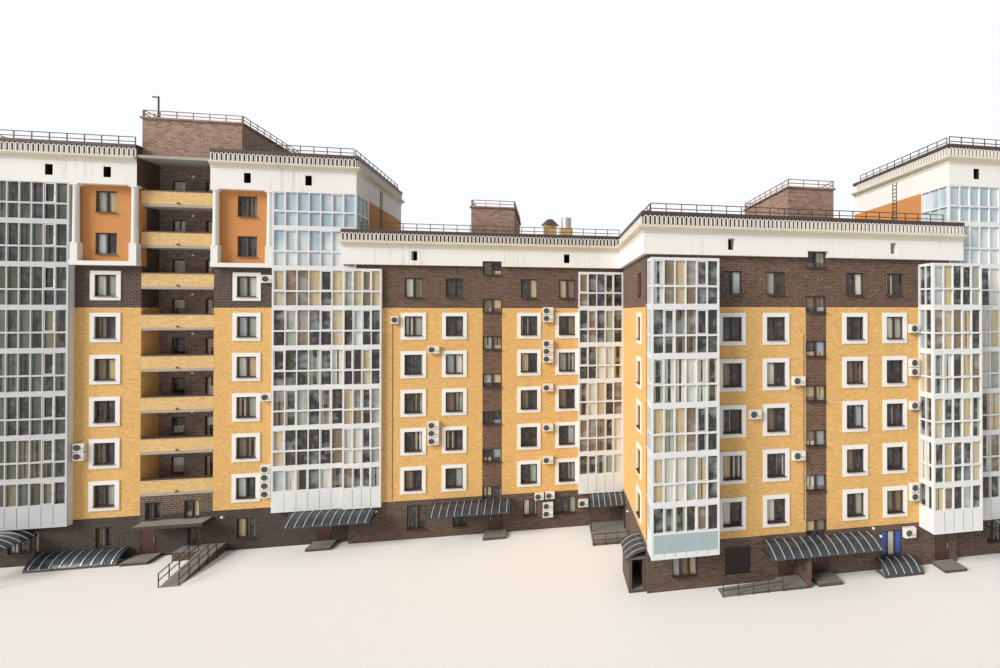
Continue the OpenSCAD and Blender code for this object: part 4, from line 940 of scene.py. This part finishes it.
LATTICES = (Lattice(-18.115, -3.12, 2.88, 8), Lattice(-8.885, -3.12, 2.88, 7), Lattice(-6.425, -3.25, 1.36, 4),
            Lattice(2.44, -3.25, 1.855, 5), Lattice(4.295, -9.595, 2.135, 6, True), Lattice(13.95, -9.595, 1.9, 5),
            Lattice(15.2, -8.85, 2.95, 7))


@dataclass
class Bays(Assembly):
    """Panes, opening sashes and skirt panels of the glazed bays."""

    skirt_foot: float = 1.42
    skirt_top: float = 2.10
    panel_foot: float = 1.54
    joint: float = 0.008
    wrap_panes: int = 3
    side_panes: int = 2
    sash_foot: float = 0.66
    head: float = 0.09
    bar: float = 0.034
    depth: float = 0.03
    sunk: float = 0.028

    def sash(self, name: str, width: float, height: float) -> Wire:
        """Draws an opening sash with its handle."""
        tree = Tree(name, Width=width, Height=height, Bar=self.bar, Depth=self.depth)
        handle = tree.cube((0.012, 0.03, 0.07), tree.join(tree.sizes[0] * 0.5 - 0.016, -0.02, 0.0))
        return tree.together([tree.frame(*tree.sizes), handle])

    def build(self) -> None:
        """Makes the sashes and panels, and marks the panes."""
        marks, joints, sashes, panels = [], [], {}, Solids()
        for sheet in parts_of("bay_glass"):
            lattice = next((item for item in LATTICES if item.holds(sheet)), None)
            if lattice is None:
                count = self.wrap_panes if sheet.size.y > 1.0 else self.side_panes
                bar = Lattice.mullion
                marks.append((sheet, sheet.low.y - bar / 2, (sheet.size.y + bar) / count))
                continue
            marks.append((sheet, lattice.start(0) - lattice.mullion / 2, lattice.pitch))
            storey, seen = math.floor(sheet.centre.z / PLAN.storey), lattice.seen(sheet)
            if storey == 1:
                middle = (self.skirt_foot + self.skirt_top) / 2
                joints += [((lattice.start(i) - lattice.mullion / 2, lattice.front - 0.001, middle), Facing.FRONT)
                           for i in seen[1:]]
                for x in map(lattice.start, seen if lattice.glazed_skirt else ()):
                    panels.box((x, lattice.front - 0.003, self.panel_foot),
                               (x + lattice.clear, lattice.front + 0.002, self.skirt_top))
            floor = storey * PLAN.storey
            foot = floor + self.sash_foot
            height = min(floor + PLAN.storey - self.head, sheet.high.z - lattice.mullion) - foot
            key = (millimetres(lattice.clear), millimetres(height))
            for i in {seen[1], seen[-2]} if storey % 2 else {seen[0], seen[-2]}:
                spot = (lattice.start(i) + lattice.clear / 2, lattice.front + self.sunk, foot + height / 2)
                sashes.setdefault(key, []).append((spot, Facing.FRONT))
        mark_panes("bay_glass", marks)
        for key, places in sorted(sashes.items()):
            name, size = "bay_sash_{}_{}".format(*key), (length / 1000 for length in key)
            self.repeat(name, self.sash(name + "_tree", *size), "bay_frame_plastic", places)
        tree = Tree("skirt_joint_tree", Height=self.skirt_top - self.skirt_foot, Width=self.joint)
        up, across = tree.sizes
        self.repeat("skirt_joints", tree.cube(tree.join(across, 0.004, up), tree.join()), "joint_paint", joints)
        self.add("glazed_skirt_panels", panels, "skirt_glass")


@dataclass
class Loggias(Assembly):
    """Copings, drains and wall lamps of the open loggias."""

    coping: float = 0.04
    overhang: float = 0.02
    drain: float = 0.03
    lamp: float = 0.045
    lamp_height: float = 1.24
    lamp_offset: float = -0.03

    def build(self) -> None:
        """Makes the pieces on every loggia."""
        copings, drains, edges, lamps = (Solids() for _ in range(4))
        x, wall = PLAN.tall_axis + self.lamp_offset, PLAN.loggia_back
        for front in parts_of("tall_balconies"):
            low, high = front.low, front.high
            copings.box((low.x, low.y - self.overhang, high.z), (high.x, high.y + self.overhang, high.z + self.coping))
            drains.bar((front.centre.x, low.y + 0.05, low.z + 0.05), (front.centre.x, low.y - 0.06, low.z + 0.03),
                       self.drain)
            edges.box((low.x, low.y - 0.012, low.z - 0.1), (high.x, low.y - 0.0005, low.z - 0.004))
            z = low.z + self.lamp_height
            lamps.bar((x, wall - 0.001, z), (x, wall - 0.04, z), self.lamp, 12)
        for name, solids, paint in (("copings", copings, "brown_steel"), ("drains", drains, "brown_steel"),
                                    ("slab_edges", edges, "slab_edge"), ("lamps", lamps, "lamp_glass")):
            self.add("loggia_" + name, solids, paint, 0.003)


@dataclass
class CoolingUnits(Assembly):
    """Fan guards, grilles, side joints and brackets of the air conditioners, and four small cases."""

    rings: int = 3
    radius: float = 0.105
    wire: float = 0.004
    case_depth: float = 0.17
    extra: tuple[tuple[Point, float, float], ...] = (
        ((0.872, -3.12, 1.365), 0.37, 0.26), ((1.300, -3.12, 1.380), 0.37, 0.26),
        ((2.650, -3.12, 0.973), 0.40, 0.30), ((13.508, -8.85, 1.217), 0.42, 0.34))

    def guard(self) -> Wire:
        """Draws the rings and spokes of a fan guard."""
        tree = Tree("fan_guard_tree", Radius=self.radius, Wire=self.wire)
        radius, wire = tree.sizes
        parts = []
        for i in range(self.rings):
            path, section = (tree.node("GeometryNodeCurvePrimitiveCircle", Resolution=steps, Radius=size)
                             for steps, size in ((20, radius * (1.0 - i * 0.3)), (4, wire)))
            ring = tree.node("GeometryNodeCurveToMesh", Curve=path, Profile_Curve=section)
            parts.append(tree.moved(ring, (0.0, -0.008, 0.0), UPRIGHT))
        for i in range(4):
            spoke = tree.node("GeometryNodeMeshCube", Size=tree.join(radius * 2.0, self.wire, self.wire))
            parts.append(tree.moved(spoke, (0.0, -0.011, 0.0), (0.0, i * math.pi / 4, 0.0)))
        return tree.together(parts)

    def fan(self) -> Wire:
        """Draws the disc and hub behind a guard."""
        tree = Tree("fan_tree", Radius=self.radius * 0.97, Depth=0.004)
        radius, depth = tree.sizes
        discs = (tree.node("GeometryNodeMeshCylinder", Vertices=steps, Radius=size, Depth=deep)
                 for steps, size, deep in ((24, radius, depth), (12, radius * 0.25, 0.016)))
        return tree.together([tree.moved(disc, (0.0, -0.0025, 0.0), UPRIGHT) for disc in discs])

    def build(self) -> None:
        """Makes the pieces on every unit."""
        cases, lips, brackets = Solids(), Solids(), Solids()
        units = parts_of("air_conditioners")
        for (x, y, z), width, height in self.extra:
            low = Vector((x - width / 2, y - self.case_depth, z - height / 2))
            units.append(Part(low, Vector((x + width / 2, y, z + height / 2))))
            cases.box(tuple(low), tuple(units[-1].high))
        for unit in units:
            low, high = unit.low, unit.high
            edge = low.x + 2 * self.radius + 0.045
            lips.box((edge, low.y - 0.003, low.z + 0.01), (edge + 0.006, low.y + 0.001, high.z - 0.01))
            for i in range(3):
                z = low.z + 0.06 + i * 0.03
                lips.box((edge + 0.016, low.y - 0.004, z), (high.x - 0.012, low.y + 0.001, z + 0.008))
            for x in (low.x + 0.04, high.x - 0.064):
                brackets.box((x, low.y + 0.01, low.z - 0.0205), (x + 0.024, high.y, low.z - 0.0005))
        self.add("small_unit_cases", cases, "case_paint", 0.004)
        fans = [((unit.low.x + self.radius + 0.03, unit.low.y, unit.centre.z), Facing.FRONT) for unit in units]
        self.repeat("fan_guards", self.guard(), "guard_paint", fans)
        self.repeat("fan_openings", self.fan(), "joint_paint", fans)
        self.add("unit_lips", lips, "guard_paint")
        self.add("unit_brackets", brackets, "brown_steel")


@dataclass
class Doors(Assembly):
    """Panels and pull bars of the hinged leaves."""

    names: tuple[str, ...] = ("tall_entrance", "tall_shop", "middle_entrance", "corner_shop", "corner_entrance",
                              "corner_service")
    thickness: float = 0.044
    rim: float = 0.02
    margin: float = 0.035
    rail: tuple[float, float] = (0.47, 0.53)
    foot: float = 0.05
    stand: float = 0.03
    pull: tuple[float, float] = (0.40, 0.60)
    pull_radius: float = 0.007

    def leaf(self, name: str) -> Part:
        """Finds the flat part of a leaf, without its hinges."""
        spots = [vertex.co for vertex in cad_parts[name + "_door"].data.vertices]
        back = max(spot.y for spot in spots)
        low, high = corners_of([spot for spot in spots if abs(spot.y - back) < 1e-4])
        low.y = back - self.thickness
        return Part(low, high)

    def build(self) -> None:
        """Makes the pieces on every leaf."""
        for name in self.names:
            part = self.leaf(name)
            low, high = part.low, part.high
            rims, w = Solids(), self.rim
            a, b = low.x + self.margin, high.x - self.margin
            for c, d in ((low.z + self.foot, low.z + self.rail[0]), (low.z + self.rail[1], high.z - self.foot)):
                for x0, z0, x1, z1 in ((a, c, b, c + w), (a, d - w, b, d), (a, c + w, a + w, d - w),
                                       (b - w, c + w, b, d - w)):
                    rims.box((x0, low.y - 0.006, z0), (x1, low.y + 0.001, z1))
            self.add(name + "_rims", rims, "door_paint", 0.002, name + "_leaf")
            knuckle = min(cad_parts[name + "_door"].data.vertices, key=lambda v: v.co.y).co.x
            x = high.x - self.stand if knuckle < part.centre.x else low.x + self.stand
            y, (foot, top) = low.y - self.stand, (low.z + z for z in self.pull)
            bars = Solids().bar((x, y, foot), (x, y, top), self.pull_radius)
            for z in (foot + 0.02, top - 0.02):
                bars.bar((x, y, z), (x, low.y + 0.001, z), 0.006)
            self.add(name + "_pull", bars, "rib_paint", body=name + "_leaf")


@dataclass
class StreetFront(Assembly):
    """Roller shutter, shop front panels and window bars of the ground storey."""

    slats: int = 22
    slat_gap: float = 0.002
    margin: float = 0.04
    bars: int = 5

    def shutter(self, pane: Part) -> Solids:
        """Lays slats and a backing over the shutter's sheet."""
        solids = Solids()
        left, right, y = pane.low.x + 0.001, pane.high.x - 0.001, pane.low.y
        pitch = pane.size.z / self.slats
        for i in range(self.slats):
            z = pane.low.z + i * pitch
            solids.box((left, y - 0.065, z + self.slat_gap), (right, y - 0.05, z + pitch - self.slat_gap))
        return solids.box((left, y - 0.05, pane.low.z), (right, y - 0.035, pane.high.z))

    def panels(self, pane: Part, thirds: Sequence[int]) -> Solids:
        """Lays a panel over each of some thirds of the shop front."""
        solids, third = Solids(), pane.size.x / 3
        for i in thirds:
            x = pane.low.x + i * third
            solids.box((x + self.margin, pane.low.y - 0.06, pane.low.z + 0.03),
                       (x + third - self.margin, pane.low.y - 0.052, pane.high.z - 0.03))
        return solids

    def grille(self, solids: Solids, pane: Part) -> None:
        """Adds the bars before a window."""
        y = pane.low.y - 0.075
        for i in range(self.bars):
            x = pane.low.x + (i + 0.5) * pane.size.x / self.bars
            solids.bar((x, y, pane.low.z + 0.005), (x, y, pane.high.z - 0.005), 0.006, 6)
        for share in (0.2, 0.5, 0.8):
            z = pane.low.z + share * pane.size.z
            solids.box((pane.low.x + 0.002, y - 0.005, z), (pane.high.x - 0.002, y + 0.005, z + 0.012))

    def build(self) -> None:
        """Makes the pieces."""
        panes = [pane for pane in parts_of("window_glass") if pane.run == 0]
        shop = next(pane for pane in panes if pane.key[0] == SHOP_WIDTH)
        shutter = next(pane for pane in panes if pane.key == SHUTTER)
        self.add("shutter_slats", self.shutter(shutter), "shutter_paint", 0.002)
        self.add("shop_side_panels", self.panels(shop, (0, 2)), "blue_panel", 0.003)
        self.add("shop_middle_panel", self.panels(shop, (1,)), "pale_panel", 0.003)
        bars = Solids()
        for pane in panes:
            if pane.key in BARRED:
                self.grille(bars, pane)
        self.add("window_bars", bars, "sash_paint")


@dataclass
class WallFittings(Assembly):
    """Globe lamps on the ground storey's walls and thin cables down the fronts."""

    globe: float = 0.045
    reach: float = 0.12
    arm: float = 0.012
    cable: float = 0.008
    lamps: Places = (
        ((-10.55, -2.87, 1.28), Facing.FRONT), ((-5.225, -3.12, 1.20), Facing.FRONT),
        ((12.108, -8.85, 1.47), Facing.FRONT), ((12.385, -8.85, 1.18), Facing.FRONT),
        ((4.295, -5.35, 1.30), Facing.LEFT))
    cables: tuple[tuple[float, float, float, float], ...] = ((-4.695, -3.12, 1.55, 8.6), (9.61, -8.85, 1.9, 8.1))

    def build(self) -> None:
        """Makes the lamps, their arms and the cables."""
        tree = Tree("wall_lamp_tree", Radius=self.globe, Reach=self.reach, Arm=self.arm)
        radius, reach, thick = tree.sizes
        ball = tree.node("GeometryNodeMeshUVSphere", Segments=12, Rings=8, Radius=radius)
        globe = tree.moved(ball, tree.join(y=reach * -1.0))
        arm = tree.cube(tree.join(thick, reach, thick), tree.join(y=reach * -0.5))
        self.repeat("wall_lamps", tree.together([globe, arm]), "lamp_glass", self.lamps)
        runs = Solids()
        for x, y, foot, top in self.cables:
            runs.bar((x, y - 0.009, foot), (x, y - 0.009, top), self.cable, 6)
        self.add("wall_cables", runs, "joint_paint")


@dataclass
class Studio:
    """Pale floor, soft lights and the camera."""

    eye: Point = (1.2919, -25.3469, 8.8277)
    yaw: float = 11.189
    pitch: float = 0.383
    lens: float = 19.153
    shift: tuple[float, float] = (-0.1553, -0.0252)
    sky_level: float = 0.38
    sky_colour: Colour = (0.97, 0.98, 1.0)
    sun_energy: float = 4.0
    sun_spread: float = 30.0
    sun_turn: tuple[float, float] = (60.0, -62.0)
    sun_colour: Colour = (1.0, 0.96, 0.90)

    def floor(self) -> None:
        """Makes the floor."""
        board = Board("floor_paint")
        board.feed((0.82, 0.82, 0.81), board.shader.inputs["Base Color"])
        board.feed(0.9, board.shader.inputs["Roughness"])
        Solids().box((-160.0, -120.0, -0.06), (160.0, 200.0, -0.004)).piece("floor", board.material)

    def world(self) -> None:
        """Sets the sky: white to the camera and in reflections, softer on the object."""
        world = bpy.data.worlds.new("studio")
        bpy.context.scene.world = world
        world.use_nodes = True
        graph = Graph(world.node_tree)
        back = graph.tree.nodes["Background"]
        seen = graph.node("ShaderNodeLightPath", out="Is Camera Ray")
        level = graph.node("ShaderNodeMapRange", To_Min=self.sky_level, To_Max=1.0,
                           Value=graph.math("MAXIMUM", seen, seen.beside("Is Glossy Ray")))
        graph.feed(level, back.inputs["Strength"])
        graph.feed(self.sky_colour, back.inputs["Color"])

    def sun(self) -> None:
        """Adds one broad sun from the left, high in front."""
        data = bpy.data.lights.new("sun", "SUN")
        data.energy = self.sun_energy
        data.angle = math.radians(self.sun_spread)
        data.color = self.sun_colour
        tilt, turn = map(math.radians, self.sun_turn)
        placed("sun", data).rotation_euler = (tilt, 0.0, turn)

    def camera(self) -> None:
        """Sets the camera."""
        data = bpy.data.cameras.new("camera")
        data.sensor_width = 36.0
        data.lens = self.lens
        data.shift_x, data.shift_y = self.shift
        data.clip_end = 500.0
        camera = placed("camera", data)
        camera.location = self.eye
        camera.rotation_euler = (math.radians(90 + self.pitch), 0.0, math.radians(-self.yaw))
        bpy.context.scene.camera = camera

    def build(self) -> None:
        """Makes the studio."""
        bpy.context.scene.view_settings.view_transform = "Standard"
        self.floor()
        self.world()
        self.sun()
        self.camera()


RECIPES: tuple[Finish, ...] = (
    WallFinish("tall_brick", TALL_BANDS,
               nodes="tall_front_piers tall_back_wall tall_end_walls end_side_wall end_back_wall"),
    WallFinish("low_brick", LOW_BANDS, nodes="middle_back_wall middle_end_wall corner_side_wall corner_back_wall"),
    WallFinish("stair_front_brick", LOW_BANDS, ((PLAN.middle_axis, 0.375, 9.0), (PLAN.corner_axis, 0.375, 9.0)),
               nodes="middle_front_wall corner_front_wall"),
    WallFinish("base_brick", (Band(0.0, BASE, BLOCK),), mortar=(0.26, 0.19, 0.145),
               nodes="lintels_and_returns middle_base_wall corner_base_wall end_base_wall end_party_wall porches"),
    WallFinish("tall_base_brick", (Band(0.0, DARK_BASE, BLOCK),), mortar=(0.16, 0.12, 0.095),
               nodes="tall_base_wall"),
    WallFinish("loggia_brick", (Band(0.0, BASE, BLOCK), Band(2.2, (0.22, 0.155, 0.125), BLOCK)),
               mortar=(0.48, 0.39, 0.33), nodes="tall_loggia_wall"),
    WallFinish("cheek_brick", (Band(0.0, YELLOW), Band(9.0, DARK_BROWN, BLOCK)), nodes="tall_loggia_cheeks"),
    WallFinish("balcony_brick", (Band(0.0, (0.70, 0.47, 0.205)),), nodes="tall_balconies"),
    WallFinish("head_house_brick", (Band(0.0, (0.27, 0.165, 0.125), BLOCK),), mortar=(0.55, 0.45, 0.38),
               nodes="head_houses"),
    WallFinish("vent_brick", (Band(0.0, (0.60, 0.40, 0.18)),), nodes="roof_vents"),
    PlasterFinish("low_attic_plaster", WHITE, 11.545, nodes="middle_attic corner_attic"),
    PlasterFinish("tall_attic_plaster", WHITE, 14.37, (PLAN.tall_axis, 1.2), nodes="tall_attic end_attic"),
    PlasterFinish("white_plaster", WHITE, soot=WHITE, nodes="tall_columns window_surrounds"),
    PlasterFinish("cornice_plaster", CREAM, nodes="cornices"),
    PlasterFinish("ring_plaster", (0.80, 0.77, 0.73), nodes="ring_frieze side_frieze"),
    PaintFinish("bay_frame_plastic", (0.70, 0.71, 0.72), 0.35, wear=0.05, worn=(0.5, 0.49, 0.46),
                nodes="tall_bay_fronts low_bay_fronts bay_sides bay_plates"),
    PaintFinish("brown_steel", (0.060, 0.038, 0.032), 0.5, 0.2,
                nodes="roof_caps roof_rails roof_steelwork door_frames"),
    PaintFinish("door_paint", (0.070, 0.028, 0.020), 0.42, 0.1,
                nodes="tall_entrance_door tall_shop_door middle_entrance_door corner_shop_door "
                      "corner_entrance_door corner_service_door"),
    PaintFinish("shutter_paint", (0.026, 0.018, 0.016), 0.5, 0.3),
    PaintFinish("shaded_plastic", (0.52, 0.54, 0.55), 0.35, wear=0.05, worn=(0.4, 0.39, 0.37)),
    PaintFinish("sash_paint", (0.052, 0.034, 0.028), 0.45),
    PaintFinish("rib_paint", (0.55, 0.57, 0.58), 0.4, 0.5, nodes="canopy_frames"),
    PaintFinish("case_paint", (0.74, 0.72, 0.66), 0.5, nodes="air_conditioners"),
    PaintFinish("guard_paint", (0.16, 0.16, 0.155), 0.5),
    PaintFinish("zinc", (0.50, 0.50, 0.49), 0.45, 0.6),
    PaintFinish("smoked_sheet", (0.045, 0.055, 0.065), 0.15, wear=0.04, alpha=0.86, nodes="canopy_sheets"),
    PaintFinish("joint_paint", (0.04, 0.04, 0.042), 0.6),
    PaintFinish("lamp_glass", (0.80, 0.80, 0.76), 0.3, wear=0.02),
    PaintFinish("blue_panel", (0.030, 0.075, 0.34), 0.35, wear=0.03),
    PaintFinish("pale_panel", (0.42, 0.44, 0.42), 0.4, wear=0.05),
    PaintFinish("skirt_glass", (0.34, 0.43, 0.46), 0.2, wear=0.04),
    GlassFinish("flat_glass", pale_share=0.28, sky_reflection_share=0.06, glare=0.08, nodes="window_glass"),
    GlassFinish("loggia_glass", curtains=((0.88, 0.88, 0.86), (0.75, 0.62, 0.50)), pale_share=0.5),
    GlassFinish("bay_glazing", pale_share=0.36, sky_reflection_share=0.05, sky_reflection_from=10.5, glare=0.35, nodes="bay_glass"),
    GlassFinish("shaded_glazing", curtains=((0.24, 0.22, 0.14), (0.13, 0.16, 0.12), (0.10, 0.10, 0.07)),
                pale_share=0.45, glare=0.08),
    SlabFinish("slab_edge", (0.42, 0.36, 0.29)),
    SlabFinish("paving", (0.24, 0.225, 0.205), 0.15),
    SlabFinish("slab_concrete", (0.40, 0.38, 0.35), nodes="tall_landings tall_floors tall_bay_floors low_bay_floors"),
    SlabFinish("roof_felt", (0.10, 0.10, 0.10), 1.0, nodes="tall_roof middle_floors corner_floors end_floors"),
)

def dress(made: dict[str, Material]) -> None:
    """Gives each CAD node its finish.

    Args:
        made: The finishes by name.
    """
    bare = set(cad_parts)
    for recipe in RECIPES:
        for node in recipe.nodes.split():
            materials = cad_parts[node].data.materials
            materials.clear()
            materials.append(made[recipe.name])
            bare.discard(node)
    for node in sorted(bare):
        LOG.warning("no finish for %s", node)


@dataclass(frozen=True)
class Touch:
    """A second finish on those faces of a node that meet a test."""

    node: str
    finish: str
    fits: Callable[[Part, bpy.types.MeshPolygon], bool]

    def apply(self, made: dict[str, Material]) -> None:
        """Sets the finish.

        Args:
            made: The finishes by name.
        """
        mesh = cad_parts[self.node].data
        mesh.materials.append(made[self.finish])
        slot = len(mesh.materials) - 1
        for part in parts_of(self.node):
            for i in part.faces:
                if self.fits(part, mesh.polygons[i]):
                    mesh.polygons[i].material_index = slot


TOUCHES = (
    Touch("roof_vents", "brown_steel", lambda part, face: face.center.x < 1.70 and face.center.z > 12.64),
    Touch("roof_vents", "zinc", lambda part, face: face.center.x > 1.72 and face.center.z > 12.52),
    Touch("canopy_frames", "brown_steel", lambda part, face: not 0.28 < part.size.z < 0.35),
    Touch("head_houses", "roof_felt", lambda part, face: face.normal.z > 0.9),
    Touch("porches", "paving", lambda part, face: face.normal.z > 0.9),
    Touch("porches", "brown_steel", lambda part, face: face.normal.z < 0.9 and part.size.z < 0.2 and part.low.z > 0.5),
    Touch("window_glass", "loggia_glass", lambda part, face: abs(part.low.y - PLAN.loggia_back - PLAN.inset) < 0.02),
    Touch("bay_glass", "shaded_glazing", lambda part, face: part.low.x < -15.0),
    Touch("tall_bay_fronts", "shaded_plastic", lambda part, face: face.center.x < -15.0 and face.center.y < -3.0),
)


def main() -> None:
    """Builds the finishes, the sub-assemblies and the studio, in order."""
    logging.basicConfig(level=logging.INFO, format="%(message)s")
    made = {recipe.name: recipe.build() for recipe in RECIPES}
    dress(made)
    for touch in TOUCHES:
        touch.apply(made)
    # Marks the faces inside the attic vents, which get painted shade.
    for vents, nodes in ((TALL_VENTS, ("tall_attic", "end_attic")), (LOW_VENTS, ("middle_attic", "corner_attic"))):
        for node in nodes:
            mark_holes(node, "hollow", *vents, VENT_WIDTH)
    for node in ("tall_front_piers", "middle_front_wall", "corner_front_wall"):
        mark_holes(node, "reveal", PLAN.storey, 6 * PLAN.storey, WIDEST_WINDOW)
    for assembly in (Windows, Bays, Loggias, CoolingUnits, Doors, StreetFront, WallFittings):
        assembly(made).build()
    Studio().build()


if __name__ == "__main__":
    main()
